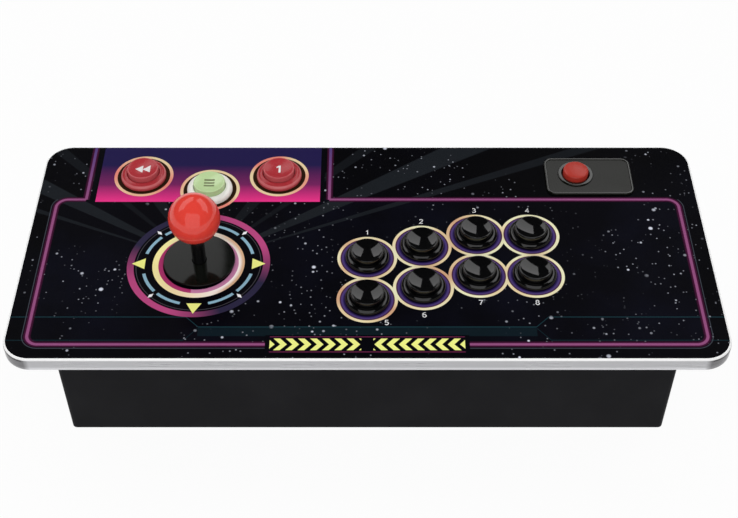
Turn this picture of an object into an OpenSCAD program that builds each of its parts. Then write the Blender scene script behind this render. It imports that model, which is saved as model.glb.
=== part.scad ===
// Mini arcade control console: a wide printed deck on a narrow black base, with a ball-top
// joystick, eight play buttons, three menu buttons and a power button.
// +X is the player's right, -Y faces the player, +Z is up.
// The origin is on the table, under the middle of the deck.

/* [Deck] */
// Width of the deck
deck_w = 479; // [460:1:560]
// Depth of the deck, front to back
deck_d = 209; // [200:1:250]
// Thickness of the deck at its edge
deck_t = 11; // [10:0.5:19]
// Radius of the deck's corners
deck_corner_r = 19.5; // [10:0.5:30]
// Thickness of the printed sheet on the deck
overlay_t = 1; // [0.5:0.1:2]
// Wall of the silver edge moulding
trim_wall = 1.6; // [1.6:0.1:3]
// Width of the edge moulding's rounding
trim_round = 1.5; // [0.6:0.1:1.5]
// Height of the edge moulding's rounding
trim_drop = 2.4; // [0.6:0.1:3]
// Length of the moulding's tongue in the board's slot
trim_tongue = 6; // [4:0.5:9]
// Thickness of the moulding's tongue
trim_tongue_t = 1.6; // [1:0.1:2.4]

/* [Base] */
// Setback of the base's sides from the deck's ends
side_setback = 29; // [20:0.5:38]
// How much narrower the base is at its foot
base_draft = 2; // [0:0.5:6]
// Height of the base without its feet
base_h = 89; // [80:1:110]
// Setback of the base's front from the deck's front edge
front_setback = 21.5; // [12:0.5:24]
// Setback of the base's back from the deck's rear edge
rear_setback = 9.5; // [5:0.5:12]
// Wall of the base
base_wall = 3; // [2:0.1:3]
// Radius of the base's upright corners
base_corner_r = 3.5; // [2:0.5:8]
// Height of the rubber feet
foot_h = 3; // [2:0.5:6]
// Radius of the rubber feet
foot_r = 9; // [6:0.5:12]

/* [Joystick] */
// Distance of the joystick from the deck's left end
stick_side = 123.5; // [114:0.1:130]
// Distance of the joystick from the deck's front edge, as a share of the deck's depth
stick_share = 0.4215; // [0.4:0.0005:0.45]
// Diameter of the ball top
ball_d = 35; // [28:0.5:40]
// Height of the ball's centre above the deck
ball_rise = 42.2; // [38:0.1:50]
// Diameter of the shaft above its pivot
shaft_d = 9.5; // [8:0.25:10]
// Diameter of the shaft below its pivot
shaft_low_d = 8; // [7:0.25:8.5]
// Depth of the pivot below the deck's top
pivot_drop = 24; // [23.5:0.5:26]
// Largest tilt of the stick to each side, in degrees
stick_tilt = 8; // [4:0.5:8]
// Diameter of the sliding dust washer
washer_d = 49.4; // [46:0.1:56]
// Thickness of the sliding dust washer
washer_t = 1.2; // [1:0.1:2]
// Thickness of the lower washer
lower_washer_t = 1.2; // [1:0.1:2]

/* [Pushbuttons] */
// Diameter of a play button's bezel
bezel_d = 30.6; // [29:0.1:34]
// Diameter of a menu button's bezel
menu_bezel_d = 33; // [29:0.1:35]
// Height of a bezel above the deck
bezel_h = 4.4; // [3:0.1:6]
// Diameter of a button's barrel
barrel_d = 26.4; // [25.6:0.1:27]
// Length of a barrel below the deck's top
barrel_len = 32; // [30:0.5:36]
// Diameter of a plunger
plunger_d = 22.8; // [21:0.1:23]
// Height of a plunger's rim above the deck
plunger_rise = 8.2; // [7.6:0.1:10]
// Travel of a plunger
plunger_travel = 3; // [1.5:0.1:3]
// Distance between the columns of play buttons
column_pitch = 38.2; // [38:0.1:40]
// Distance between the two rows of play buttons
row_pitch = 39; // [38:0.5:42]
// Step of the first three columns towards the back
column_step = 11.2; // [0:0.1:14]
// Place of the first column across the deck
first_column_x = -0.1; // [-4:0.1:4]
// Distance of the first play button from the deck's front edge
first_row_front = 53; // [50:0.5:56]

/* [Menu buttons] */
// Distance of the middle menu button from the deck's left end
menu_side = 124.8; // [118:0.1:130]
// Distance between the menu buttons
menu_pitch = 49.8; // [46:0.1:54]
// Distance of the outer menu buttons from the deck's rear edge
menu_rear = 33.1; // [32:0.1:34]
// How far the middle menu button stands forward of the others
menu_step = 14.8; // [12:0.1:16]

/* [Power button] */
// Distance of the power button from the deck's right end
power_side = 86.6; // [78:0.1:92]
// Distance of the power button from the deck's rear edge
power_rear = 32.3; // [28:0.1:36]
// Diameter of the power button's cap
power_cap_d = 18.5; // [14:0.5:20]
// Height of the power cap above the deck
power_rise = 6.8; // [6:0.1:9]
// Travel of the power cap
power_travel = 2; // [1:0.1:2.4]
// Width of the plate round the power button
plate_w = 63.4; // [60:0.1:76]
// Depth of the plate round the power button
plate_d = 38.6; // [36:0.1:46]
// Thickness of the plate
plate_t = 1.2; // [1:0.1:2]

/* [Hidden] */

$fn = 64;

// Clearances shared by pieces that fit each other
run_gap = 0.05;
slide_gap = 0.3;
lay_gap = 0.1;
cut = 1;

// Heights
deck_top = foot_h + base_h + deck_t;
deck_under = deck_top - deck_t;
board_t = deck_t - overlay_t;

// Outline of the board inside the moulding
board_w = deck_w - 2 * trim_wall;
board_d = deck_d - 2 * trim_wall;
board_corner_r = deck_corner_r - trim_wall;
tongue_gap = 0.2;

// The base between its setbacks
base_w = deck_w - 2 * side_setback;
base_inner_r = 1;
base_front = -deck_d / 2 + front_setback;
base_back = deck_d / 2 - rear_setback;
base_d = base_back - base_front;
base_mid = (base_back + base_front) / 2;
base_foot_w = base_w - base_draft;

// Bosses that hold the deck and the bottom panel
boss_r = 6;
boss_sink = 1;
boss_len = 14;
deck_screw_r = 2;
deck_screw_head_r = 3.8;
deck_screw_head_h = 2.4;
deck_screw_bite = 7;
foot_boss_len = 16;
side_boss_x = base_foot_w / 2 - base_wall - boss_r + boss_sink;
front_boss_y = base_front + base_wall + boss_r - boss_sink;
back_boss_y = base_back - base_wall - boss_r + boss_sink;
front_boss_x = 60;
back_boss_side = 114.5;
back_boss_x = deck_w / 2 - back_boss_side;
foot_boss_places = [
    [-side_boss_x, front_boss_y], [side_boss_x, front_boss_y],
    [-side_boss_x, back_boss_y], [side_boss_x, back_boss_y],
    [-front_boss_x, front_boss_y], [front_boss_x, front_boss_y]
];
deck_boss_places = concat(foot_boss_places, [[-back_boss_x, back_boss_y], [back_boss_x, back_boss_y]]);

// Bottom panel and its vents
panel_t = 3;
vent_count = 7;
vent_w = 3;
vent_len = 46;
vent_pitch = 9;
foot_inset = 22;

// Circuit board and the sockets on its rear edge
pcb_t = 1.6;
pcb_w = 112;
pcb_d = 66;
pcb_rise = 14;
pcb_x = 60;
standoff_r = 3.5;
standoff_inset = 6;
board_screw_r = 1.5;
board_screw_bite = 6;
board_screw_head_r = 2.8;
board_screw_head_h = 1.8;
chip_w = 16;
chip_h = 2.2;
coil_r = 4;
coil_h = 6;
port_t = 3;
port_w = 124;
port_h = 36;
port_window_w = 106;
port_window_h = 22;
port_screw_r = 1.5;
port_screw_head_r = 2.8;
port_screw_head_h = 1.8;
port_screw_inset = 4;
pcb_z = foot_h + panel_t + pcb_rise;
pcb_top = pcb_z + pcb_t;
port_back = base_back - base_wall;
port_front = port_back - port_t;
pcb_back = port_front - slide_gap;
port_mid_z = pcb_top + port_window_h / 4;
socket_gap = 2;
socket_span = pcb_w / 2 - standoff_inset - standoff_r - socket_gap;
usb_pitch = 20;
usb_w = 13.2;
usb_x = pcb_x + socket_span - usb_w / 2 - usb_pitch;
dc_w = 9;
dc_x = pcb_x - socket_span + dc_w / 2;
video_x = (dc_x + usb_x) / 2;
dc_h = 11;
dc_r = 2.75;
dc_pin_r = 1;
dc_pin_recess = 1;
dc_len = 14;
socket_wall = 0.5;
socket_len = 12;
socket_depth = 9;
video_w = 15;
video_h = 5.8;
usb_h = 5.8;
tongue_h = 1.6;
tongue_side = 1;

// Joystick: heights are below the deck's top unless a name says rise
stick_x = -deck_w / 2 + stick_side;
stick_y = (stick_share - 0.5) * deck_d;
stick_hole_r = 12;
plate_steel_t = 1.6;
stick_plate_w = 95;
stick_plate_d = 66;
stick_plate_r = 5;
stick_plate_hole_r = 14;
stick_screw_x = 41;
stick_screw_y = 26;
stick_screw_r = 2;
stick_screw_head_r = 3.8;
stick_screw_head_h = 2.4;
stick_screw_bite = 7;
housing_wall = 3;
housing_room = 2.2;
housing_top_drop = deck_t + plate_steel_t;
housing_base_drop = 58.4;
shelf_t = 2;
shelf_sink = 0.5;
shelf_below_pivot = 9;
shelf_drop = pivot_drop + shelf_below_pivot;
shelf_hole_r = 9;
ring_r = 17;
ring_bore_r = 12.5;
ring_h = 8;
trunnion_r = 2;
block_r = 8;
block_h = 12;
block_pin_end = ring_r - tongue_gap;
spring_wire_r = 0.7;
spring_mean_r = 10.6;
spring_turns = 4;
seat_r = 12;
seat_t = 1.5;
seat_below_pivot = 23;
seat_drop = pivot_drop + seat_below_pivot;
actuator_r = 9.5;
actuator_len = 9;
actuator_edge = 1;
actuator_drop = seat_drop + seat_t;
clip_t = 0.8;
clip_r = 6;
clip_drop = actuator_drop + actuator_len;
groove_r = 3.2;
shaft_end_drop = 64.5;
micro_w = 19.8;
micro_h = 6.4;
micro_d = 10.2;
micro_face = 15.6;
housing_w = 2 * (micro_face + micro_d + housing_room + housing_wall);
trunnion_end = housing_w / 2 - housing_wall / 3;
micro_pin_w = 3.2;
micro_pin_t = 0.6;
micro_pin_len = 3.4;
leaf_t = 0.4;
leaf_w = 4;
stick_leaf_gap = 0.6;
stick_board_hole_r = 16.5;
gate_t = 4;
gate_w = 46;
gate_gap = 0.4;
gate_drop = housing_base_drop + pcb_t;
gate_reach = (shaft_end_drop - pivot_drop) * tan(stick_tilt) / cos(stick_tilt);
gate_half = shaft_low_d / 2 / cos(stick_tilt) + gate_reach + gate_gap;
ball_neck_r = 3;
ball_bore_len = 14;
ball_flat = 0.8;
ball_tip_gap = 1;

// Pushbuttons: heights are above the deck's top, so below it they are negative
barrel_r = barrel_d / 2;
bezel_edge = 1;
bezel_lip = 0.8;
bezel_lip_r = 0.9;
plunger_r = plunger_d / 2;
button_bore_r = plunger_r + slide_gap;
barrel_floor = 2;
barrel_chamfer = 1;
plunger_skirt = 14;
plunger_wall = 1.9;
plunger_crown = 2.4;
plunger_dish = 1.3;
plunger_edge = 1.4;
stem_r = 3.9;
stem_tip_r = 3;
flange_r = 4.9;
flange_t = 1;
stem_tip = 0.8;
leaf_drop = barrel_len + slide_gap + flange_t + stem_tip + slide_gap;
switch_w = 10.3;
switch_len = 27.8;
switch_h = 15.9;
switch_drop = leaf_drop + plunger_travel + leaf_t;
arm_t = 2.6;
arm_w = 14;
arm_gap = 0.15;
arm_lip = 1.2;
arm_lip_t = 1.4;
terminal_w = 4.8;
terminal_t = 0.8;
terminal_len = 6.4;
nut_r = 17;
nut_t = 7;
nut_notches = 6;
nut_notch_r = 2.2;
coil_wire_r = 0.45;
coil_mean_r = 6.6;
coil_turns = 5;
deck_hole_r = barrel_r + slide_gap;
column_steps = [0, 1, 2, 2];
play_front_y = -deck_d / 2 + first_row_front;
play_places = [
    for (row = [1, 0], column = [0:3])
        [first_column_x + column * column_pitch,
         play_front_y + column_steps[column] * column_step + row * row_pitch]
];
menu_x = -deck_w / 2 + menu_side;
menu_y = deck_d / 2 - menu_rear;
menu_places = [
    [menu_x - menu_pitch, menu_y], [menu_x, menu_y - menu_step], [menu_x + menu_pitch, menu_y]
];
button_places = concat(play_places, menu_places);

// Power button
power_x = deck_w / 2 - power_side;
power_y = deck_d / 2 - power_rear;
power_cap_r = power_cap_d / 2;
plate_corner_r = 6.5;
plate_lip = 1.6;
plate_lip_h = 0.6;
plate_shift_x = 9.4;
plate_shift_y = -2.1;
collar_r = 13;
collar_h = 1;
collar_mouth = 0.8;
collar_mouth_depth = 2.5;
collar_barrel_r = 11.4;
collar_barrel_len = 20;
power_cap_dome = 0.9;
power_cap_edge = 1.5;
power_stem_r = 3;
power_flange_r = 4;
power_switch_w = 14;
power_switch_h = 12;
power_stem_tip = 1;
power_nut_r = 15;
power_nut_t = 5;

// A helix swept as one closed tube, from height 0 up to rise
function helix_ring(mean_r, wire_r, turn, height, sides) = [
    for (side = [0:sides - 1])
        let (lean = 360 * side / sides, reach = mean_r + wire_r * cos(lean))
            [reach * cos(360 * turn), reach * sin(360 * turn), height + wire_r * sin(lean)]
];

module helix(mean_r, wire_r, turns, rise, steps, sides) {
    rings = turns * steps;
    points = [
        for (ring = [0:rings])
            each helix_ring(mean_r, wire_r, ring / steps,
                            wire_r + (rise - 2 * wire_r) * ring / rings, sides)
    ];
    walls = [
        for (ring = [0:rings - 1], side = [0:sides - 1])
            let (next = (side + 1) % sides, low = ring * sides, high = low + sides)
                each [[low + side, low + next, high + next], [low + side, high + next, high + side]]
    ];
    first_cap = [for (side = [1:sides - 2]) [0, side + 1, side]];
    last = rings * sides;
    last_cap = [for (side = [1:sides - 2]) [last, last + side, last + side + 1]];
    polyhedron(points, concat(walls, first_cap, last_cap));
}

// A rectangle with round corners, about its centre
module round_rect(w, d, r) {
    square([w - 2 * r, d], center = true);
    square([w, d - 2 * r], center = true);
    for (sx = [-1, 1], sy = [-1, 1])
        translate([sx * (w / 2 - r), sy * (d / 2 - r)]) circle(r);
}

// A profile carried round the edge of a rectangle with round corners.
// The profile's x is the distance from the corner's centre.
module round_edge(w, d, r) {
    runs = [w - 2 * r, d - 2 * r];
    for (quarter = [0:3]) {
        side_x = quarter == 0 || quarter == 3 ? 1 : -1;
        side_y = quarter < 2 ? 1 : -1;
        run = runs[quarter % 2];
        translate([side_x * (w / 2 - r), side_y * (d / 2 - r), 0]) rotate(90 * quarter) {
            rotate_extrude(angle = 90) children();
            translate([-run, 0, 0]) rotate([90, 0, 90]) linear_extrude(run) children();
        }
    }
}

// A square-cut block that stands on its base
module block(w, d, h) {
    translate([-w / 2, -d / 2, 0]) cube([w, d, h]);
}

module at_each(places, height) {
    for (place = places) translate([place[0], place[1], height]) children();
}

module on_stick(drop = 0) {
    translate([stick_x, stick_y, deck_top - drop]) children();
}

// A pan-head screw with its head below its origin and its shank above
module screw(shank_r, length, head_r, head_h) {
    rotate_extrude() polygon([
        [0, -head_h], [head_r - head_h / 2, -head_h], [head_r, -head_h / 2], [head_r, 0],
        [shank_r, 0], [shank_r, length - shank_r], [0, length]
    ]);
}

// Deck

module deck_holes(height) {
    at_each(button_places, -cut) cylinder(r = deck_hole_r, h = height + 2 * cut);
    translate([stick_x, stick_y, -cut]) cylinder(r = stick_hole_r, h = height + 2 * cut);
    translate([power_x, power_y, -cut])
        cylinder(r = collar_barrel_r + slide_gap, h = height + 2 * cut);
}

module deck_board() {
    slot_x = board_corner_r - trim_tongue - tongue_gap;
    slot_t = trim_tongue_t + tongue_gap;
    color([0.33, 0.24, 0.17]) translate([0, 0, deck_under]) difference() {
        linear_extrude(board_t) round_rect(board_w, board_d, board_corner_r);
        deck_holes(board_t);
        round_edge(board_w, board_d, board_corner_r)
            translate([slot_x, (board_t - slot_t) / 2]) square([board_corner_r + cut - slot_x, slot_t]);
        at_each(deck_boss_places, -cut)
            cylinder(r = deck_screw_r + run_gap, h = deck_screw_bite + 2 * cut);
        for (sx = [-1, 1], sy = [-1, 1])
            translate([stick_x + sx * stick_screw_x, stick_y + sy * stick_screw_y, -cut])
                cylinder(r = stick_screw_r + run_gap, h = stick_screw_bite + 2 * cut);
    }
}

module deck_overlay() {
    color([0.04, 0.04, 0.07]) translate([0, 0, deck_top - overlay_t]) difference() {
        linear_extrude(overlay_t) round_rect(board_w, board_d, board_corner_r);
        deck_holes(overlay_t);
    }
}

module edge_trim() {
    inner = deck_corner_r - trim_wall;
    mid = board_t / 2;
    steps = 4;
    low_arc = [
        for (step = [0:steps])
            [deck_corner_r - trim_round + trim_round * sin(90 * step / steps),
             trim_drop - trim_drop * cos(90 * step / steps)]
    ];
    high_arc = [
        for (step = [0:steps])
            [deck_corner_r - trim_round + trim_round * cos(90 * step / steps),
             deck_t - trim_drop + trim_drop * sin(90 * step / steps)]
    ];
    color([0.8, 0.8, 0.82]) translate([0, 0, deck_under])
        round_edge(deck_w, deck_d, deck_corner_r)
            polygon(concat(
                [[inner, 0]], low_arc, high_arc, [[inner, deck_t]],
                [[inner, mid + trim_tongue_t / 2], [inner - trim_tongue, mid + trim_tongue_t / 2],
                 [inner - trim_tongue, mid - trim_tongue_t / 2], [inner, mid - trim_tongue_t / 2]]
            ));
}

module power_plate() {
    color([0.2, 0.2, 0.22]) difference() {
        translate([power_x + plate_shift_x, power_y + plate_shift_y, deck_top]) difference() {
            linear_extrude(plate_t + plate_lip_h) round_rect(plate_w, plate_d, plate_corner_r);
            translate([0, 0, plate_t]) linear_extrude(plate_lip_h + cut)
                round_rect(plate_w - 2 * plate_lip, plate_d - 2 * plate_lip, plate_corner_r - plate_lip);
        }
        translate([power_x, power_y, deck_top - cut])
            cylinder(r = collar_barrel_r + slide_gap, h = plate_t + 2 * cut);
    }
}

// Base

module drafted_box(foot_w, top_w, d, r, h) {
    hull() {
        linear_extrude(h / 100) round_rect(foot_w, d, r, $fn = 32);
        translate([0, 0, h - h / 100]) linear_extrude(h / 100) round_rect(top_w, d, r, $fn = 32);
    }
}

module base_shell() {
    color([0.08, 0.08, 0.08]) difference() {
        union() {
            translate([0, base_mid, foot_h]) difference() {
                drafted_box(base_foot_w, base_w, base_d, base_corner_r, base_h);
                translate([0, 0, -cut])
                    drafted_box(base_foot_w - 2 * base_wall, base_w - 2 * base_wall,
                                base_d - 2 * base_wall, base_inner_r, base_h + 2 * cut);
            }
            at_each(deck_boss_places, deck_under - boss_len) cylinder(r = boss_r, h = boss_len);
            at_each(foot_boss_places, foot_h + panel_t) cylinder(r = boss_r, h = foot_boss_len);
        }
        at_each(deck_boss_places, deck_under - boss_len - cut)
            cylinder(r = deck_screw_r + run_gap, h = boss_len + 2 * cut);
        at_each(foot_boss_places, foot_h + panel_t - cut)
            cylinder(r = deck_screw_r + run_gap, h = deck_screw_bite + 2 * cut);
        translate([pcb_x - port_window_w / 2, port_back - cut, port_mid_z - port_window_h / 2])
            cube([port_window_w, base_wall + 2 * cut, port_window_h]);
        port_screw_places() translate([0, 0, -cut])
            cylinder(r = port_screw_r + run_gap, h = base_wall + 2 * cut);
    }
}

// Axes of the four port-panel screws, running forwards from the outside of the rear wall
module port_screw_places() {
    for (sx = [-1, 1], sz = [-1, 1])
        translate([pcb_x + sx * (port_w / 2 - port_screw_inset), base_back,
                   port_mid_z + sz * (port_h / 2 - port_screw_inset)])
            rotate([90, 0, 0]) children();
}

module bottom_panel() {
    w = base_foot_w - 2 * base_wall - 2 * slide_gap;
    d = base_d - 2 * base_wall - 2 * slide_gap;
    color([0.1, 0.1, 0.1]) difference() {
        union() {
            translate([0, base_mid, foot_h]) linear_extrude(panel_t)
                round_rect(w, d, base_inner_r);
            standoff_places(foot_h) cylinder(r = standoff_r, h = panel_t + pcb_rise);
        }
        at_each(foot_boss_places, foot_h - cut)
            cylinder(r = deck_screw_r + run_gap, h = panel_t + 2 * cut);
        for (slot = [0:vent_count - 1])
            translate([-pcb_x + (slot - (vent_count - 1) / 2) * vent_pitch, base_mid, foot_h - cut])
                block(vent_w, vent_len, panel_t + 2 * cut);
        standoff_places(pcb_z - board_screw_bite - cut)
            cylinder(r = board_screw_r + run_gap, h = board_screw_bite + 2 * cut);
    }
}

module standoff_places(height) {
    for (sx = [-1, 1], sy = [-1, 1])
        translate([pcb_x + sx * (pcb_w / 2 - standoff_inset),
                   pcb_back - pcb_d / 2 + sy * (pcb_d / 2 - standoff_inset), height])
            children();
}

module rubber_feet() {
    foot_x = base_foot_w / 2 - foot_inset;
    foot_y = base_d / 2 - foot_inset;
    color([0.05, 0.05, 0.05])
        for (sx = [-1, 1], sy = [-1, 1])
            translate([sx * foot_x, base_mid + sy * foot_y, 0])
                cylinder(r1 = foot_r - foot_h / 3, r2 = foot_r, h = foot_h);
}

module port_panel() {
    color([0.12, 0.12, 0.12]) difference() {
        translate([pcb_x, port_front + port_t / 2, port_mid_z]) rotate([90, 0, 0])
            translate([0, 0, -port_t / 2]) linear_extrude(port_t)
                round_rect(port_w, port_h, port_screw_inset);
        socket_window(dc_x, dc_w, dc_h);
        socket_window(video_x, video_w, video_h);
        for (side = [0, 1]) socket_window(usb_x + side * usb_pitch, usb_w, usb_h);
        port_screw_places() cylinder(r = port_screw_r + run_gap, h = base_wall + port_t + cut);
    }
}

module socket_window(x, w, h) {
    translate([x - w / 2 - tongue_gap, port_front - cut, pcb_top - tongue_gap])
        cube([w + 2 * tongue_gap, port_t + 2 * cut, h + 2 * tongue_gap]);
}

module dc_inlet() {
    color([0.1, 0.1, 0.1]) translate([dc_x, port_back, pcb_top]) {
        difference() {
            translate([0, -dc_len / 2, 0]) block(dc_w, dc_len, dc_h);
            translate([0, cut, dc_h / 2]) rotate([90, 0, 0]) cylinder(r = dc_r, h = socket_depth + cut);
        }
        translate([0, -dc_pin_recess, dc_h / 2]) rotate([90, 0, 0])
            cylinder(r = dc_pin_r, h = socket_depth);
    }
}

// A sheet-metal socket with a tongue, its mouth at the rear
module tongue_socket(w, h) {
    translate([0, -socket_len / 2, 0]) difference() {
        block(w, socket_len, h);
        translate([0, socket_len / 2 - socket_depth / 2 + cut / 2, socket_wall])
            block(w - 2 * socket_wall, socket_depth + cut, h - 2 * socket_wall);
    }
    translate([0, -socket_len / 2 - socket_wall, h / 2])
        block(w - 4 * tongue_side, socket_len - 2 * socket_wall, tongue_h);
}

module video_socket() {
    color([0.75, 0.75, 0.77]) translate([video_x, port_back, pcb_top]) tongue_socket(video_w, video_h);
}

module usb_sockets() {
    color([0.75, 0.75, 0.77])
        for (side = [0, 1])
            translate([usb_x + side * usb_pitch, port_back, pcb_top]) tongue_socket(usb_w, usb_h);
}

module main_board() {
    mid_y = pcb_back - pcb_d / 2;
    color([0.05, 0.3, 0.15]) {
        difference() {
            translate([pcb_x, mid_y, pcb_z]) block(pcb_w, pcb_d, pcb_t);
            standoff_places(pcb_z - cut) cylinder(r = board_screw_r + run_gap, h = pcb_t + 2 * cut);
        }
        translate([pcb_x, mid_y, pcb_top]) block(chip_w, chip_w, chip_h);
        translate([pcb_x + 2 * chip_w, mid_y, pcb_top]) block(chip_w / 2, chip_w, chip_h);
        for (side = [-1, 1])
            translate([pcb_x - 2 * chip_w, mid_y + side * chip_w / 2, pcb_top])
                cylinder(r = coil_r, h = coil_h);
    }
}

// Joystick

module ball_top() {
    color([0.85, 0.1, 0.1]) on_stick(-ball_rise) difference() {
        sphere(d = ball_d, $fn = 96);
        translate([0, 0, -ball_d]) block(ball_d, ball_d, ball_d / 2 + ball_flat);
        translate([0, 0, -ball_d / 2 - cut])
            cylinder(r = ball_neck_r + run_gap, h = ball_bore_len + cut);
    }
}

module stick_shaft() {
    shoulder = ball_rise - ball_d / 2 + ball_flat;
    low_r = shaft_low_d / 2;
    top_r = shaft_d / 2;
    tip = ball_rise - ball_d / 2 + ball_bore_len - ball_tip_gap;
    color([0.06, 0.06, 0.06]) on_stick() rotate_extrude() polygon([
        [0, -shaft_end_drop], [low_r - clip_t, -shaft_end_drop],
        [low_r, -shaft_end_drop + clip_t], [low_r, -clip_drop - clip_t],
        [groove_r, -clip_drop - clip_t], [groove_r, -clip_drop], [low_r, -clip_drop],
        [low_r, -pivot_drop - block_h / 2], [low_r, -pivot_drop + block_h / 2],
        [top_r, -pivot_drop + block_h / 2], [top_r, shoulder],
        [ball_neck_r, shoulder], [ball_neck_r, tip], [0, tip]
    ]);
}

module pivot_block() {
    color([0.85, 0.85, 0.82]) on_stick(pivot_drop) difference() {
        union() {
            translate([0, 0, -block_h / 2]) cylinder(r = block_r, h = block_h);
            translate([0, block_pin_end, 0]) rotate([90, 0, 0])
                cylinder(r = trunnion_r, h = 2 * block_pin_end);
        }
        translate([0, 0, -block_h]) cylinder(r = shaft_low_d / 2 + run_gap, h = 2 * block_h);
    }
}

module gimbal_ring() {
    color([0.3, 0.3, 0.32]) on_stick(pivot_drop) difference() {
        union() {
            translate([0, 0, -ring_h / 2]) cylinder(r = ring_r, h = ring_h);
            translate([-trunnion_end, 0, 0]) rotate([0, 90, 0])
                cylinder(r = trunnion_r, h = 2 * trunnion_end);
        }
        translate([0, 0, -ring_h]) cylinder(r = ring_bore_r, h = 2 * ring_h);
        translate([0, ring_r + cut, 0]) rotate([90, 0, 0])
            cylinder(r = trunnion_r + run_gap, h = 2 * ring_r + 2 * cut);
    }
}

module dust_washer() {
    low = lower_washer_t + 2 * lay_gap;
    top = low + washer_t;
    rim = washer_d / 2;
    round = washer_t / 2;
    hole_r = shaft_d / 2 + washer_t * tan(stick_tilt) + slide_gap;
    color([0.12, 0.13, 0.12]) on_stick() rotate_extrude($fn = 96) polygon([
        [hole_r, low], [rim - round / 2, low], [rim, low + round / 2], [rim, top - round],
        [rim - round / 3, top - round / 3], [rim - round, top], [hole_r, top]
    ]);
}

module lower_washer() {
    reach = (pivot_drop + lower_washer_t) * tan(stick_tilt) / cos(stick_tilt);
    hole_r = shaft_d / 2 + reach + slide_gap;
    color([0.08, 0.08, 0.08]) on_stick(-lay_gap) difference() {
        cylinder(r = washer_d / 2 - washer_t, h = lower_washer_t);
        translate([0, 0, -cut]) cylinder(r = hole_r, h = lower_washer_t + 2 * cut);
    }
}

module joystick_plate() {
    color([0.7, 0.7, 0.72]) on_stick(housing_top_drop) difference() {
        linear_extrude(plate_steel_t) round_rect(stick_plate_w, stick_plate_d, stick_plate_r);
        translate([0, 0, -cut]) cylinder(r = stick_plate_hole_r, h = plate_steel_t + 2 * cut);
        for (sx = [-1, 1], sy = [-1, 1])
            translate([sx * stick_screw_x, sy * stick_screw_y, -cut])
                cylinder(r = stick_screw_r + run_gap, h = plate_steel_t + 2 * cut);
    }
}

module joystick_housing() {
    tall = housing_base_drop - housing_top_drop;
    inner = housing_w - 2 * housing_wall;
    color([0.1, 0.1, 0.11]) on_stick(housing_base_drop) difference() {
        union() {
            difference() {
                linear_extrude(tall) round_rect(housing_w, housing_w, housing_wall);
                translate([0, 0, -cut]) block(inner, inner, tall + 2 * cut);
            }
            translate([0, 0, housing_base_drop - shelf_drop - shelf_t])
                block(inner + 2 * shelf_sink, inner + 2 * shelf_sink, shelf_t);
        }
        translate([0, 0, -cut]) cylinder(r = shelf_hole_r, h = tall + 2 * cut);
        translate([-housing_w / 2 - cut, 0, housing_base_drop - pivot_drop]) rotate([0, 90, 0])
            cylinder(r = trunnion_r + run_gap, h = housing_w + 2 * cut);
    }
}

module centring_spring() {
    top = shelf_drop + shelf_t + slide_gap;
    color([0.7, 0.7, 0.7]) on_stick(seat_drop - slide_gap)
        helix(spring_mean_r, spring_wire_r, spring_turns, seat_drop - slide_gap - top, 12, 6);
}

module spring_seat() {
    color([0.75, 0.75, 0.75]) on_stick(seat_drop + seat_t) difference() {
        cylinder(r = seat_r, h = seat_t);
        translate([0, 0, -cut]) cylinder(r = shaft_low_d / 2 + run_gap, h = seat_t + 2 * cut);
    }
}

module actuator() {
    color([0.85, 0.85, 0.82]) on_stick(clip_drop) difference() {
        rotate_extrude() polygon([
            [0, 0], [actuator_r - actuator_edge, 0], [actuator_r, actuator_edge],
            [actuator_r, actuator_len - actuator_edge],
            [actuator_r - actuator_edge, actuator_len], [0, actuator_len]
        ]);
        translate([0, 0, -cut]) cylinder(r = shaft_low_d / 2 + run_gap, h = actuator_len + 2 * cut);
    }
}

module retaining_clip() {
    color([0.6, 0.6, 0.62]) on_stick(clip_drop + clip_t) difference() {
        cylinder(r = clip_r, h = clip_t);
        translate([0, 0, -cut]) cylinder(r = groove_r + run_gap, h = clip_t + 2 * cut);
        translate([clip_r / 2, 0, -cut]) block(clip_r, 2 * groove_r - clip_t, clip_t + 2 * cut);
    }
}

module joystick_switches() {
    color([0.15, 0.15, 0.15]) on_stick(housing_base_drop)
        for (quarter = [0:3]) rotate(90 * quarter) {
            translate([micro_face + micro_d / 2, 0, 0]) block(micro_d, micro_w, micro_h);
            for (place = [-1, 0, 1])
                translate([micro_face + micro_d / 2, place * micro_w / 3, -micro_pin_len])
                    block(micro_pin_w, micro_pin_t, micro_pin_len);
        }
}

module joystick_board() {
    color([0.05, 0.3, 0.15]) on_stick(gate_drop) difference() {
        block(housing_w, housing_w, pcb_t);
        translate([0, 0, -cut]) cylinder(r = stick_board_hole_r, h = pcb_t + 2 * cut);
        for (quarter = [0:3]) rotate(90 * quarter)
            for (place = [-1, 0, 1])
                translate([micro_face + micro_d / 2, place * micro_w / 3, -cut])
                    block(micro_pin_w + tongue_gap, micro_pin_t + tongue_gap, pcb_t + 2 * cut);
    }
}

module restrictor_gate() {
    color([0.9, 0.9, 0.88]) on_stick(gate_drop + gate_t) difference() {
        linear_extrude(gate_t) round_rect(gate_w, gate_w, housing_wall);
        translate([0, 0, -cut]) block(2 * gate_half, 2 * gate_half, gate_t + 2 * cut);
        for (quarter = [0:3]) rotate(90 * quarter)
            translate([micro_face + micro_d / 2, 0, gate_t - micro_pin_len + pcb_t - tongue_gap])
                block(micro_pin_w + 2 * tongue_gap, micro_w, micro_pin_len);
    }
}

// Pushbuttons

module on_button(place, height = 0) {
    translate([place[0], place[1], deck_top + height]) children();
}

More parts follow.
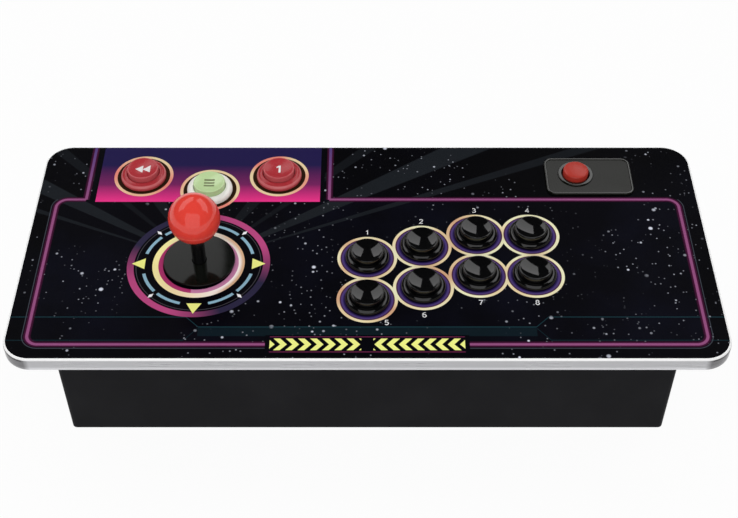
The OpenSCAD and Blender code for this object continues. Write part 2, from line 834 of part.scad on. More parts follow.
module bezel(place, bezel_r, tint) {
    steps = 8;
    crown_r = button_bore_r + bezel_lip_r;
    crown = [
        for (step = [0:steps])
            [crown_r + (bezel_r - crown_r) * cos(90 * step / steps),
             bezel_edge + (bezel_h - bezel_edge) * sin(90 * step / steps)]
    ];
    arm_x = switch_w / 2 + arm_gap;
    arm_base = switch_drop + switch_h + arm_gap + arm_lip_t;
    color(tint) on_button(place) {
        rotate_extrude() polygon(concat(
            [[stem_r + slide_gap, -barrel_len], [barrel_r - barrel_chamfer, -barrel_len],
             [barrel_r, -barrel_len + barrel_chamfer], [barrel_r, 0], [bezel_r, 0]],
            crown,
            [[button_bore_r, bezel_h - bezel_lip], [button_bore_r, -barrel_len + barrel_floor],
             [stem_r + slide_gap, -barrel_len + barrel_floor]]
        ));
        for (side = [0, 180]) rotate(side) {
            translate([arm_x + arm_t / 2, 0, -arm_base])
                block(arm_t, arm_w, arm_base - barrel_len + barrel_floor / 2);
            translate([arm_x + arm_t / 2 - arm_lip / 2, 0, -arm_base])
                block(arm_t + arm_lip, arm_w, arm_lip_t);
        }
    }
}

module plunger(place, tint) {
    low = -barrel_len - slide_gap;
    under = plunger_rise - plunger_crown;
    bowl_r = plunger_r - plunger_edge;
    steps = 5;
    bowl = [
        for (step = [0:steps])
            let (share = 1 - step / steps)
                [bowl_r * share, plunger_rise - plunger_edge / 8 - plunger_dish * (1 - share * share)]
    ];
    color(tint) on_button(place) rotate_extrude() polygon(concat([
        [0, low - flange_t - stem_tip], [stem_tip_r, low - flange_t - stem_tip],
        [stem_tip_r, low - flange_t], [flange_r, low - flange_t], [flange_r, low],
        [stem_r, low], [stem_r, under], [plunger_r - plunger_wall, under],
        [plunger_r - plunger_wall, -plunger_skirt], [plunger_r, -plunger_skirt],
        [plunger_r, plunger_rise - plunger_edge / 2],
        [plunger_r - plunger_edge / 5, plunger_rise - plunger_edge / 6],
        [plunger_r - plunger_edge / 2, plunger_rise]
    ], bowl));
}

// A nut with notches for a spanner, its top at height 0
module notched_nut(outer_r, inner_r, thick) {
    translate([0, 0, -thick]) difference() {
        cylinder(r = outer_r, h = thick);
        translate([0, 0, -cut]) cylinder(r = inner_r + run_gap, h = thick + 2 * cut);
        for (notch = [0:nut_notches - 1]) rotate(360 * notch / nut_notches)
            translate([outer_r + nut_notch_r / 3, 0, -cut])
                cylinder(r = nut_notch_r, h = thick + 2 * cut);
    }
}

module button_nuts() {
    color([0.1, 0.1, 0.1]) {
        at_each(button_places, deck_under) notched_nut(nut_r, barrel_r, nut_t);
        on_power(-deck_t) notched_nut(power_nut_r, collar_barrel_r, power_nut_t);
    }
}

module button_springs() {
    low = -barrel_len + barrel_floor + lay_gap;
    rise = plunger_rise - plunger_crown - lay_gap - low;
    color([0.75, 0.75, 0.75]) at_each(button_places, deck_top + low)
        helix(coil_mean_r, coil_wire_r, coil_turns, rise, 8, 5);
}

module button_switches() {
    color([0.12, 0.12, 0.12]) at_each(button_places, deck_top - switch_drop - switch_h) {
        block(switch_w, switch_len, switch_h);
        for (place = [-1, 0, 1])
            translate([0, place * switch_len / 3, -terminal_len])
                block(terminal_t, terminal_w, terminal_len);
    }
}

module switch_leaves() {
    leaf_len = switch_len / 2;
    color([0.8, 0.8, 0.8]) {
        at_each(button_places, deck_top - leaf_drop - leaf_t) {
            translate([0, leaf_len / 2 - stem_tip_r, 0]) block(leaf_w, leaf_len, leaf_t);
            translate([0, leaf_len - stem_tip_r - leaf_t / 2, -plunger_travel])
                block(leaf_w, leaf_t, plunger_travel);
        }
        on_stick(housing_base_drop - micro_h / 2) for (quarter = [0:3]) rotate(90 * quarter) {
            leaf_x = actuator_r + stick_leaf_gap;
            translate([leaf_x + leaf_t / 2, 0, -leaf_w / 2]) block(leaf_t, micro_w, leaf_w);
            translate([(leaf_x + micro_face) / 2, (micro_w - leaf_t) / 2, -leaf_w / 2])
                block(micro_face - leaf_x, leaf_t, leaf_w);
        }
    }
}

// Power button

module on_power(height = 0) {
    translate([power_x, power_y, deck_top + height]) children();
}

module power_collar() {
    top = plate_t + collar_h;
    bore_r = power_cap_r + slide_gap;
    color([0.25, 0.25, 0.27]) on_power() rotate_extrude() polygon([
        [power_stem_r + slide_gap, -collar_barrel_len], [collar_barrel_r, -collar_barrel_len],
        [collar_barrel_r, plate_t], [collar_r, plate_t], [collar_r, plate_t + collar_h / 2],
        [collar_r - collar_h / 2, top], [bore_r + collar_mouth, top],
        [bore_r + collar_mouth, top - collar_mouth_depth],
        [bore_r, top - collar_mouth_depth - collar_mouth],
        [bore_r, -collar_barrel_len + barrel_floor],
        [power_stem_r + slide_gap, -collar_barrel_len + barrel_floor]
    ]);
}

module power_cap() {
    low = -collar_barrel_len - slide_gap;
    under = power_rise - plunger_crown;
    color([0.85, 0.1, 0.1]) on_power() rotate_extrude() polygon([
        [0, low - flange_t - power_stem_tip], [power_stem_r / 2, low - flange_t - power_stem_tip],
        [power_stem_r / 2, low - flange_t], [power_flange_r, low - flange_t], [power_flange_r, low],
        [power_stem_r, low], [power_stem_r, under],
        [power_cap_r - plunger_wall, under], [power_cap_r - plunger_wall, -plunger_skirt / 2],
        [power_cap_r, -plunger_skirt / 2],
        [power_cap_r, power_rise - power_cap_dome - power_cap_edge],
        [power_cap_r - power_cap_edge / 4, power_rise - power_cap_dome - power_cap_edge / 3],
        [power_cap_r - power_cap_edge, power_rise - power_cap_dome],
        [power_cap_r / 2, power_rise - power_cap_dome / 4], [0, power_rise]
    ]);
}

module power_switch() {
    clear = flange_t + power_stem_tip + power_travel + 2 * slide_gap;
    color([0.15, 0.15, 0.16]) on_power(-collar_barrel_len) {
        difference() {
            translate([0, 0, -clear]) cylinder(r = collar_barrel_r, h = clear);
            translate([0, 0, -clear - cut])
                cylinder(r = power_flange_r + slide_gap, h = clear + 2 * cut);
        }
        translate([0, 0, -clear - power_switch_h]) block(power_switch_w, power_switch_w, power_switch_h);
        for (side = [-1, 1])
            translate([side * power_switch_w / 4, 0, -clear - power_switch_h - terminal_len])
                block(terminal_w / 2, terminal_t, terminal_len);
    }
}

// Fasteners

module base_screws() {
    color([0.5, 0.5, 0.5]) {
        at_each(deck_boss_places, deck_under - boss_len)
            screw(deck_screw_r, boss_len + deck_screw_bite, deck_screw_head_r, deck_screw_head_h);
        at_each(foot_boss_places, foot_h)
            screw(deck_screw_r, panel_t + deck_screw_bite, deck_screw_head_r, deck_screw_head_h);
    }
}

module joystick_screws() {
    color([0.6, 0.6, 0.6]) on_stick(housing_top_drop)
        for (sx = [-1, 1], sy = [-1, 1])
            translate([sx * stick_screw_x, sy * stick_screw_y, 0])
                screw(stick_screw_r, plate_steel_t + stick_screw_bite,
                      stick_screw_head_r, stick_screw_head_h);
}

module port_screws() {
    color([0.5, 0.5, 0.5]) port_screw_places()
        screw(port_screw_r, base_wall + port_t, port_screw_head_r, port_screw_head_h);
}

module board_screws() {
    color([0.6, 0.6, 0.6]) standoff_places(pcb_top) rotate([180, 0, 0])
        screw(board_screw_r, pcb_t + board_screw_bite, board_screw_head_r, board_screw_head_h);
}

black = [0.04, 0.04, 0.04];
red = [0.8, 0.1, 0.1];
white = [0.92, 0.92, 0.9];
green = [0.75, 0.9, 0.7];

deck_board();
deck_overlay();
edge_trim();
power_plate();
base_shell();
bottom_panel();
rubber_feet();
port_panel();
dc_inlet();
video_socket();
usb_sockets();
main_board();
ball_top();
stick_shaft();
pivot_block();
dust_washer();
lower_washer();
joystick_plate();
joystick_housing();
gimbal_ring();
centring_spring();
spring_seat();
actuator();
retaining_clip();
joystick_switches();
joystick_board();
restrictor_gate();
bezel(play_places[0], bezel_d / 2, black);  // play_bezel_1
bezel(play_places[1], bezel_d / 2, black);  // play_bezel_2
bezel(play_places[2], bezel_d / 2, black);  // play_bezel_3
bezel(play_places[3], bezel_d / 2, black);  // play_bezel_4
bezel(play_places[4], bezel_d / 2, black);  // play_bezel_5
bezel(play_places[5], bezel_d / 2, black);  // play_bezel_6
bezel(play_places[6], bezel_d / 2, black);  // play_bezel_7
bezel(play_places[7], bezel_d / 2, black);  // play_bezel_8
bezel(menu_places[0], menu_bezel_d / 2, red);  // rewind_bezel
bezel(menu_places[1], menu_bezel_d / 2, white);  // home_bezel
bezel(menu_places[2], menu_bezel_d / 2, red);  // start_bezel
plunger(play_places[0], black);  // play_plunger_1
plunger(play_places[1], black);  // play_plunger_2
plunger(play_places[2], black);  // play_plunger_3
plunger(play_places[3], black);  // play_plunger_4
plunger(play_places[4], black);  // play_plunger_5
plunger(play_places[5], black);  // play_plunger_6
plunger(play_places[6], black);  // play_plunger_7
plunger(play_places[7], black);  // play_plunger_8
plunger(menu_places[0], red);  // rewind_plunger
plunger(menu_places[1], green);  // home_plunger
plunger(menu_places[2], red);  // start_plunger
button_nuts();
button_springs();
button_switches();
switch_leaves();
power_cap();
power_collar();
power_switch();
base_screws();
joystick_screws();
port_screws();
board_screws();
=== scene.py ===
"""Looks of a tabletop arcade control console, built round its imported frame."""

import math

import bpy
from bpy.props import FloatProperty, FloatVectorProperty, IntProperty, PointerProperty
from bpy.types import Operator, Panel, PropertyGroup
from mathutils import Matrix, Vector


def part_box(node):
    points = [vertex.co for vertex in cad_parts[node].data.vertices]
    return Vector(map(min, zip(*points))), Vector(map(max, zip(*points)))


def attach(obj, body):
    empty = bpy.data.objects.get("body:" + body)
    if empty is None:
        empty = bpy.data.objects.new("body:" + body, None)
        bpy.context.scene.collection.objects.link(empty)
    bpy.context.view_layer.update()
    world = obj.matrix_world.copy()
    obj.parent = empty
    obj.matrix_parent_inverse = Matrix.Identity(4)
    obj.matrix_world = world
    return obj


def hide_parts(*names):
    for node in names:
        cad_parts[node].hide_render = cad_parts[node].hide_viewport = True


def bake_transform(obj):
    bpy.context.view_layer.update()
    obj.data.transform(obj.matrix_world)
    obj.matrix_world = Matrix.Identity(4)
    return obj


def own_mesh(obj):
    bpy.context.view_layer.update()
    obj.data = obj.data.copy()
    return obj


bl_info = {
    "name": "Arcade control console",
    "version": (1, 0, 0),
    "blender": (4, 5, 0),
    "location": "View3D > Sidebar > Console",
    "description": "Finishes for a tabletop arcade control console",
    "category": "Object",
}

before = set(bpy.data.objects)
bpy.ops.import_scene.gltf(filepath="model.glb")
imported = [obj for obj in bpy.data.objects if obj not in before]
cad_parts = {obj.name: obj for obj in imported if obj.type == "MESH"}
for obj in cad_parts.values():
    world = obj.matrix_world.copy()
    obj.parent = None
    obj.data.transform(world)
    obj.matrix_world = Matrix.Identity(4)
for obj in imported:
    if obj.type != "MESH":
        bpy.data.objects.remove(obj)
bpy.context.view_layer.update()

MM = 0.001
EDGE_LOW, EDGE_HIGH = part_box("edge_trim")
DECK_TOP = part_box("deck_overlay")[1].z
PLAY_BUTTONS = [f"play_bezel_{number}" for number in range(1, 9)]
MENU_BUTTONS = ["rewind_bezel", "home_bezel", "start_bezel"]
BUTTONS = [*PLAY_BUTTONS, *MENU_BUTTONS]
STICK_SIDES = [
    ("right", "stick_left_right"),
    ("rear", "stick_fore_aft"),
    ("left", "stick_left_right"),
    ("front", "stick_fore_aft"),
]

# Sizes of pieces in millimetres, with heights from the deck's top

CORNER_R = 19.5
TRIM_WALL, TRIM_ROUND, TRIM_DROP = 1.6, 1.5, 2.4
TONGUE, TONGUE_T, SHEET_T = 6, 1.6, 1
CROWN_R, CROWN_FOOT, CROWN_T = 12.6, 1, 2.4
BARREL_R, BARREL_LEN, BARREL_FLOOR, BORE_R = 13.2, 32, 2, 11.7
BARREL_FILLET, BEZEL_FILLET, BORE_FILLET = 1, 0.2, 0.7
STEM_R, STEM_BORE_R, STEM_TIP_R, STEM_TIP = 3.9, 4.2, 3, 0.8
COIL_R, COIL_WIRE_R, COIL_TURNS, PRESS = 6.6, 0.45, 5.0, 3
CENTRING_R, CENTRING_WIRE_R, CENTRING_TURNS = 10.6, 0.7, 4
LEAF_W, LEAF_T, LEAF_FRONT, LEAF_BACK, LEAF_GAP = 4, 0.4, -3, 10.9, 0.3
LEAF_BEND_R, LEAF_TIP_R = 0.9, 0.3
STICK_LEAF_GAP, STICK_LEAF_LEN, STICK_LEAF_RISE, STICK_LEAF_KEEP = 0.6, 19.8, 5.5, 0.3
FLANGE_R, FLANGE_T, WALL, SKIRT = 4.9, 1, 1.9, 14
BOWL_INSET, BOWL_DROP, RIM_LAND, RIM_FALL = 1.4, 0.18, 0.3, 0.05
ARM_GAP, ARM_T, ARM_W, ARM_LIP, ARM_LIP_T = 5.3, 2.6, 14, 1.2, 1.4
BALL_BORE, BALL_BORE_R = 14, 3.05
DUST_HOLE_R, DUST_FILLET, LOWER_HOLE_R, LOWER_FILLET = 5.2, 0.6, 8.6, 0.3
CAP_DOME, CAP_FILLET, CAP_SKIRT, CAP_STEM = 0.9, 1.5, 7, 1
CAP_STEM_R, CAP_FLANGE_R, CAP_POST_R = 1.5, 4, 3
COLLAR_H, COLLAR_BARREL_R, COLLAR_GAP, COLLAR_HOLE_R = 1, 11.4, 0.3, 3.3
FOOT_FILLET, COLLAR_FILLET, MOUTH, MOUTH_FILLET, MOUTH_DEPTH = 0.2, 0.6, 0.8, 0.25, 2.5
PLATE_R, PLATE_LIP, PLATE_LIP_H, PLATE_LAND = 6.5, 1.6, 0.6, 1
PLATE_FILLET, LIP_FILLET, LAND_FILLET = 0.8, 0.4, 0.2
INK_T = 0.05
NUMBER_GAP, FIFTH_NUMBER = 25, (13, -20.5)
DIGIT_W_SHARE, STROKE_SHARE = 0.6, 0.16
ARROW_LEN, ARROW_TIP_SHARE, BAR_T, BAR_STEP = 5.4, 1 / 24, 1.6, 3
ONE_FLAG, ONE_LEFT, ONE_RIGHT, ONE_DROPS = -1.8, -0.2, 1.3, (1.2, 2.6, 1.7)

# Steps round curves, the least bend in radians that shows as a sharp edge, and the radius in
# millimetres below which a point lies on the axis

CROWN_STEPS, BOWL_STEPS, DOME_STEPS, FILLET_STEPS, CORNER_STEPS = 12, 12, 10, 6, 12
ARC_STEPS, TRIM_STEPS, SWEEP_STEPS, COIL_STEPS, WIRE_STEPS, PATCH_STEPS = 12, 8, 24, 20, 10, 6
LEAST_BEND, ON_AXIS = math.radians(32), 1e-6

# Drawing of the printed sheet in millimetres, with angles in degrees. A field of stars has the
# size of its cells, a star's reach in cells, the share of empty cells and the brightness. A beam
# has its least and greatest lean, its softness and its brightness.

STAR_FIELDS = [(3.4, 0.16, 0.55, 0.4), (7.2, 0.12, 0.62, 0.9), (17.5, 0.08, 0.3, 1.0)]
BEAMS = [(55.2, 60.4, 0.3, 1), (66.2, 67.8, 0.2, 0.8), (26, 33, 0.3, 0.7), (43, 46, 0.3, 0.5)]
TEAL_REAR, TEAL_FRONT, TEAL_STEP = -67.1, -75.9, 112
TEAL_HALF, ECHO_HALF, ECHO_GAP, ECHO_STEP_SHARE, TEAL_HAZE = 0.3, 0.25, 1, 1.2, 8
OUTLINE_NEAR, OUTLINE_FAR = 0.8, 1.3
PANEL_GAP, PANEL_EDGE = 6.8, 3
PLAY_CREAM_R, PLAY_LINE_R, PLAY_VIOLET_R, PLAY_WELL_R = 20.7, 18.6, 17.7, 16.2
MENU_CREAM_R, MENU_WELL_R = 21.6, 19.3
STICK_SHIFT = (-0.6, -1.5)
STICK_OUTER_R, STICK_BAND_R, STICK_LINE, STICK_DASH = 49.3, 44.6, (42.8, 43.2), (36.9, 39.1)
STICK_PALE_R, STICK_BLUSH_R, STICK_WELL_R = 31.8, 27.7, 24.4
PALE_DEPTH, PALE_WIDTH, BUTTER_FROM, PALE_EDGE_X, PALE_EDGE_R, BLUSH_X = 25, 30, 6, 16, 29.6, -3
DASH_ANGLES = [(14.5, 42.5), (47.5, 75.5)]
DIAMOND_R, DIAMOND_HALF = 42.4, 2.6
HEAD_TIP, HEAD_FOOT, HEAD_LEAN = 46.2, 37, 0.55
CHEVRON_STEP, CHEVRON_LEAN, CHEVRON_SHARES, CHEVRON_GAP = 8.0, 0.9, (0.08, 0.62), 4
BANNER_EDGE, BANNER_LINE = 3, (1.2, 1.7)
POST_TAPER, BREAK = 4, 20
DIAGONAL = math.sqrt(0.5)
DEGREES = 180 / math.pi

# Looks in millimetres: heights on the edge moulding of its painted white highlight, its painted
# pale highlight at the foot and its painted dark reflection line, the step of a board's tracks, and
# the paler bands of painted highlight about the edges of a red plunger and its bezel (inner, outer,
# share)

CROWN_HIGHLIGHT_DROP, FOOT_HIGHLIGHT_RISE, BEND_REFLECTION_DROP = 1.1, 3.4, 2.6
TRACK_STEP = 2.5
PLUNGER_HIGHLIGHT_BAND, BEZEL_HIGHLIGHT_BAND = (-0.9, 0.2, 0.28), (-1.3, -0.1, 0.55)

# Softboxes in metres: name, place, size, share of the brightness and height aimed at

SOFTBOXES = [
    ("softbox_left", (-0.93, 0.82, 1.55), (2.08, 1.2), 1.1, 1.55),
    ("softbox_right", (0.93, 0.82, 1.55), (2.08, 1.2), 1.1, 1.55),
    ("softbox_front", (-0.1, -1.39, 1.07), (2.1, 2.0), 0.75, DECK_TOP),
]

# Other looks: the painted dark reflection at the moulding's front bends, cells that ignore the
# height, a Mix node's sockets

BEND_REFLECTION_COLOUR = (0.03, 0.027, 0.03)
FLAT = (1, 1, 0.0001)
MIX_SHARE, MIX_UNDER, MIX_OVER, MIX_RESULT = 0, 6, 7, 2


def middle(node):
    """The centre of a CAD node's box."""
    low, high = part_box(node)
    return (low + high) / 2


def hex_colour(code):
    """A linear colour from the six hexadecimal digits that a paint chart gives."""
    parts = [int(code[start : start + 2], 16) / 255 for start in (0, 2, 4)]
    return tuple(p / 12.92 if p <= 0.04045 else ((p + 0.055) / 1.055) ** 2.4 for p in parts)


# Settings


def colour_setting(label, note, code):
    return FloatVectorProperty(
        name=label, description=note, subtype="COLOR", min=0, max=1, default=hex_colour(code)
    )


def length_setting(label, note, millimetres):
    length = millimetres * MM
    return FloatProperty(
        name=label, description=note, subtype="DISTANCE", unit="LENGTH", default=length, min=0
    )


class ConsolePrint(PropertyGroup):
    ground: colour_setting("Ground", "Night ground of the printed sheet", "020209")
    haze: colour_setting("Haze", "Faint clouds in the ground", "0c0e20")
    beam: colour_setting("Beam", "Faint beams that fan out behind the joystick", "1c2025")
    shade: colour_setting("Shade", "Darker ground outside the stripe", "000000")
    teal: colour_setting("Teal", "Thin line along the front of the sheet", "193c45")
    outline: colour_setting("Outline", "Fine line outside the stripe", "565b68")
    star: colour_setting("Stars", "Dots scattered over the ground", "d8dcea")
    stripe: colour_setting("Stripe", "Line that frames the sheet", "934f7e")
    glow: colour_setting("Glow", "Dark glow on both sides of the stripe", "3d0b2e")
    navy: colour_setting("Navy", "Rear of the menu panel", "221b4b")
    plum: colour_setting("Plum", "Middle of the menu panel", "7c2460")
    pink: colour_setting("Pink", "Front edge of the menu panel", "e83488")
    cream: colour_setting("Cream", "Outer ring round each button", "ecd4a8")
    ivory: colour_setting("Ivory", "Palest part of the play buttons' outer rings", "f4f0c8")
    tan: colour_setting("Tan", "Darkest part of the play buttons' outer rings", "d6a884")
    wine: colour_setting("Wine", "Line inside the play buttons' outer rings", "4a1f40")
    violet: colour_setting("Violet", "Ring round each play button", "503e7c")
    midnight: colour_setting("Midnight", "Ground right round each play button", "2e2058")
    coral: colour_setting("Coral", "Warm part of the menu buttons' rings", "e98a7a")
    umber: colour_setting("Umber", "Ground right round each menu button", "2d190a")
    slate: colour_setting("Slate", "Fine ring inside the joystick's outer ring", "4d4a52")
    sky: colour_setting("Sky", "Dashes round the joystick", "8cb4c8")
    frost: colour_setting("Frost", "Four diamonds round the joystick", "f2f2f6")
    lemon: colour_setting("Lemon", "Arrowheads and chevrons", "f0f38a")
    rose: colour_setting("Rose", "Warm side of the joystick's ring", "ba4981")
    indigo: colour_setting("Indigo", "Cool side of the joystick's ring", "2c2843")
    milk: colour_setting("Milk", "Front of the joystick's pale ring", "fff4ef")
    sand: colour_setting("Sand", "Rear of the joystick's pale ring", "e6dacc")
    straw: colour_setting("Straw", "Front left of the joystick's pale ring", "f6e0ae")
    butter: colour_setting("Butter", "Left of the joystick's pale ring", "fbf3a2")
    caramel: colour_setting("Caramel", "Right edge of the joystick's pale ring", "dcb490")
    berry: colour_setting("Berry", "Left of the joystick's inner ring", "b0346e")
    blush: colour_setting("Blush", "Right of the joystick's inner ring", "c882aa")
    mulberry: colour_setting("Mulberry", "Thin lines beside the chevrons", "7a2a55")
    numbers: colour_setting("Numbers", "Numbers beside the play buttons", "e8e8ea")
    stripe_side: length_setting("Stripe side", "From the deck's ends to the stripe", 15.5)
    stripe_front: length_setting("Stripe front", "From the deck's front to the stripe", 13.5)
    stripe_w: length_setting("Stripe width", "Width of the stripe", 2)
    glow_w: length_setting("Glow width", "Width of the stripe with its glow", 4.6)
    stripe_r: length_setting("Stripe corner", "Radius of the stripe's corners", 8)
    frame_depth: length_setting("Frame depth", "From the deck's front to the stripe's back", 150.9)
    post_in: length_setting("Post place", "From the stripe's left side to the left post", 20.6)
    post_gap: length_setting("Post gap", "Between the two posts beside the menu panel", 175.8)
    panel_w: length_setting("Panel width", "Width of the menu panel", 162.2)
    panel_d: length_setting("Panel depth", "Depth of the menu panel from the rear edge", 60.5)
    banner_w: length_setting("Banner width", "Width of the rows of chevrons", 128)
    banner_h: length_setting("Banner height", "Height of the rows of chevrons", 10)
    digit_h: length_setting("Digit height", "Height of the numbers beside the play buttons", 4)
    mark_h: length_setting("Mark height", "Height of the marks on the menu buttons", 7.5)


class ConsoleFinish(PropertyGroup):
    ball: colour_setting("Ball", "Ball top", "e8453a")
    button: colour_setting("Play buttons", "Black gloss plastic", "060607")
    menu_red: colour_setting("Red buttons", "Outer menu buttons", "b03038")
    menu_white: colour_setting("White bezel", "Middle menu button's bezel", "faf9f2")
    menu_green: colour_setting("Green plunger", "Middle menu button's plunger", "c3dea4")
    base: colour_setting("Base", "Black satin plastic of the base", "1a1a1c")
    moulding: colour_setting("Edge moulding", "Bright silver moulding", "b9b9bc")
    plate: colour_setting("Power plate", "Dark grey plate", "13140f")
    power: colour_setting("Power cap", "Red power cap", "b03429")
    washer: colour_setting("Dust washer", "Dark gloss disc", "0c0e0b")
    shaft: colour_setting("Shaft", "Dark shaft of the joystick", "0c0c0d")
    light_mark: colour_setting("Light marks", "Marks on the red buttons", "f4efee")
    dark_mark: colour_setting("Dark mark", "Mark on the green plunger", "758152")
    board: colour_setting("Board", "Raw pressed board of the deck", "6b5138")
    port: colour_setting("Ports", "Rear panel and power inlet", "141414")
    socket: colour_setting("Sockets", "Shells of the rear sockets", "c9c9cc")
    foot: colour_setting("Feet", "Rubber feet", "141414")
    housing: colour_setting("Housing", "Joystick housing, gimbal and nuts", "18181a")
    natural: colour_setting("Natural plastic", "Pivot, actuator and gate", "dcdbd2")
    zinc: colour_setting("Zinc", "Joystick plate and spring seat", "c0c2c6")
    spring: colour_setting("Springs", "Spring wire and clip", "b8b8ba")
    leaf: colour_setting("Leaves", "Leaves of the microswitches", "b4b5b8")
    mask: colour_setting("Solder mask", "Circuit boards", "0f5a2c")
    switch: colour_setting("Switches", "Bodies of the switches", "1d1d1f")
    screw: colour_setting("Screws", "Plated screws", "8d8e92")
    turns: IntProperty(
        name="Facets round",
        description="Facets round each turned piece",
        default=96,
        min=24,
        max=256,
    )
    rim: length_setting("Rim", "Fillet of a plunger's rim", 0.8)
    dish: length_setting("Dish", "Depth of the hollow in a plunger's top", 1.3)


class ConsoleStage(PropertyGroup):
    lens: FloatProperty(
        name="Lens",
        description="Focal length of the camera",
        default=67.06,
        min=20,
        max=200,
        unit="CAMERA",
    )
    reach: length_setting("Camera reach", "How far in front of the deck the camera is", 675.3)
    rise: length_setting("Camera height", "How high the camera is", 788.4)
    aside: length_setting("Camera side", "How far to the right the camera is", 1.1)
    pitch: FloatProperty(
        name="Pitch",
        description="How far down the camera looks",
        subtype="ANGLE",
        default=math.radians(46),
    )
    shine: FloatProperty(
        name="Softboxes", description="Brightness of each softbox", default=1.6, min=0
    )
    room: FloatProperty(name="Room light", description="Light from all round", default=0.4, min=0)
    ceiling: FloatProperty(
        name="Ceiling", description="How bright gloss shows the ceiling", default=0.02, min=0
    )
    horizon: FloatProperty(
        name="Horizon", description="How far above level gloss sees white", default=0.08, min=0
    )
    floor: length_setting("Floor", "From the floor's middle to its sides", 6000)
    floor_gap: length_setting("Floor gap", "Between the feet and the floor", 0.3)


# Shader maths


def maths(operation):
    """A method of Value that joins it to others by one Math node."""
    return lambda value, *others: value.node(operation, *others)


class Value:
    """A number in a shader tree, which grows its Math nodes as an expression is written."""

    def __init__(self, tree, source):
        self.tree = tree
        self.source = source

    def node(self, operation, *others, clamp=False):
        """The value of a new Math node that is fed this value and others."""
        node = self.tree.nodes.new("ShaderNodeMath")
        node.operation = operation
        node.use_clamp = clamp
        for socket, item in zip(node.inputs, (self, *others)):
            feed(self.tree, item, socket)
        return Value(self.tree, node.outputs[0])

    __add__ = maths("ADD")
    __sub__ = maths("SUBTRACT")
    __mul__ = maths("MULTIPLY")
    __truediv__ = maths("DIVIDE")
    __abs__ = maths("ABSOLUTE")
    least = maths("MINIMUM")
    most = maths("MAXIMUM")
    root = maths("SQRT")
    fraction = maths("FRACT")
    arctan2 = maths("ARCTAN2")

    def __rsub__(self, other):
        return self * -1 + other

    def held(self):
        """Kept between 0 and 1."""
        return self.node("ADD", 0.0, clamp=True)

    def under(self, edge, soft=0.15):
        """1 below the edge and 0 above it, over a soft step."""
        return ((edge - self) / soft + 0.5).held()

    def over(self, edge, soft=0.15):
        return ((self - edge) / soft + 0.5).held()

    def between(self, low, high, soft=0.15):
        return self.over(low, soft) * self.under(high, soft)


def feed(tree, item, socket):
    """Gives a socket a value, a wrapped value, or another node's output."""
    if isinstance(item, Value):
        item = item.source
    if isinstance(item, bpy.types.NodeSocket):
        tree.links.new(item, socket)
    elif socket.type == "RGBA":
        socket.default_value = (*item, 1)
    else:
        socket.default_value = item


def feed_named(tree, node, items):
    """Feeds a node's sockets, by names that have _ in place of a space."""
    for name, item in items.items():
        feed(tree, item, node.inputs[name.replace("_", " ")])


def distance(x, y, spot):
    """How far the point x, y is from a spot."""
    across, along = x - spot.x, y - spot.y
    return (across * across + along * along).root()


def nearest(x, y, nodes):
    """How far the point x, y is from the nearest middle of some CAD nodes, in millimetres."""
    gap, *others = [distance(x, y, middle(node) / MM) for node in nodes]
    for other in others:
        gap = gap.least(other)
    return gap


class Finish:
    """A material under construction, with its Principled shader ready."""

    def __init__(self, name):
        self.material = bpy.data.materials.new(name)
        self.material.use_nodes = True
        self.tree = self.material.node_tree
        self.shader = next(n for n in self.tree.nodes if n.type == "BSDF_PRINCIPLED")
        self.place = self.add("ShaderNodeTexCoord").outputs["Object"]

    def add(self, kind, **sockets):
        """A node of one kind, with its sockets filled."""
        node = self.tree.nodes.new(kind)
        feed_named(self.tree, node, sockets)
        return node

    def set(self, **sockets):
        """Fills sockets of the Principled shader."""
        feed_named(self.tree, self.shader, sockets)

    def scaled(self, size, stretch):
        """The point's place in units of size millimetres, stretched along the axes."""
        scale = [share / (size * MM) for share in stretch]
        return self.add("ShaderNodeMapping", Vector=self.place, Scale=scale).outputs["Vector"]

    def noise(self, size, detail, roughness=0.5, stretch=(1, 1, 1)):
        """Noise whose blotches are about size millimetres across."""
        node = self.add(
            "ShaderNodeTexNoise",
            Vector=self.scaled(size, stretch),
            Scale=1.0,
            Detail=detail,
            Roughness=roughness,
        )
        return Value(self.tree, node.outputs["Fac"])

    def cells(self, size, stretch=(1, 1, 1)):
        """Distance from the middle of the nearest random cell, in cells, and its own colour."""
        place = self.scaled(size, stretch)
        node = self.add("ShaderNodeTexVoronoi", Vector=place, Scale=1.0, Randomness=1.0)
        parts = self.add("ShaderNodeSeparateColor", Color=node.outputs["Color"])
        gap = Value(self.tree, node.outputs["Distance"])
        return gap, [Value(self.tree, p) for p in parts.outputs]

    def axes(self):
        """The point's place, in millimetres along each axis."""
        parts = self.add("ShaderNodeSeparateXYZ", Vector=self.place)
        return [Value(self.tree, p) / MM for p in parts.outputs]

    def mix(self, under, over, share):
        """One colour laid over another."""
        node = self.tree.nodes.new("ShaderNodeMix")
        node.data_type = "RGBA"
        for item, socket in ((share, MIX_SHARE), (under, MIX_UNDER), (over, MIX_OVER)):
            feed(self.tree, item, node.inputs[socket])
        return node.outputs[MIX_RESULT]

    def bump(self, height, depth):
        """Relief of a given depth in millimetres, from a height between 0 and 1."""
        node = self.add("ShaderNodeBump", Height=height, Distance=depth * MM)
        self.set(Normal=node.outputs["Normal"])


# Materials, with the sizes of their grain in millimetres


def shaded(colour, gain, lift=0):
    """A colour made lighter or darker, with each part held at 1."""
    return [min(1, part * gain + lift) for part in colour]


def gloss_plastic(name, colour, roughness, level=0.5, lip=None):
    """Moulded plastic with a slow ripple and fine scuffs, and a clear coat above a lip's height."""
    finish = Finish(name)
    slow = finish.noise(12, 2)
    scuff = finish.noise(0.9, 4, 0.6)
    finish.set(
        Base_Color=finish.mix(colour, shaded(colour, 1.25, 0.01), scuff.over(0.62, 0.2) * 0.25),
        Roughness=slow * 0.05 + scuff.over(0.6, 0.2) * 0.08 + (roughness - 0.04),
        Specular_IOR_Level=level,
        Coat_Weight=0.0 if lip is None else finish.axes()[2].over(lip, 0.3),
        Coat_Roughness=0.1,
    )
    finish.bump(slow, 0.02)
    return finish.material


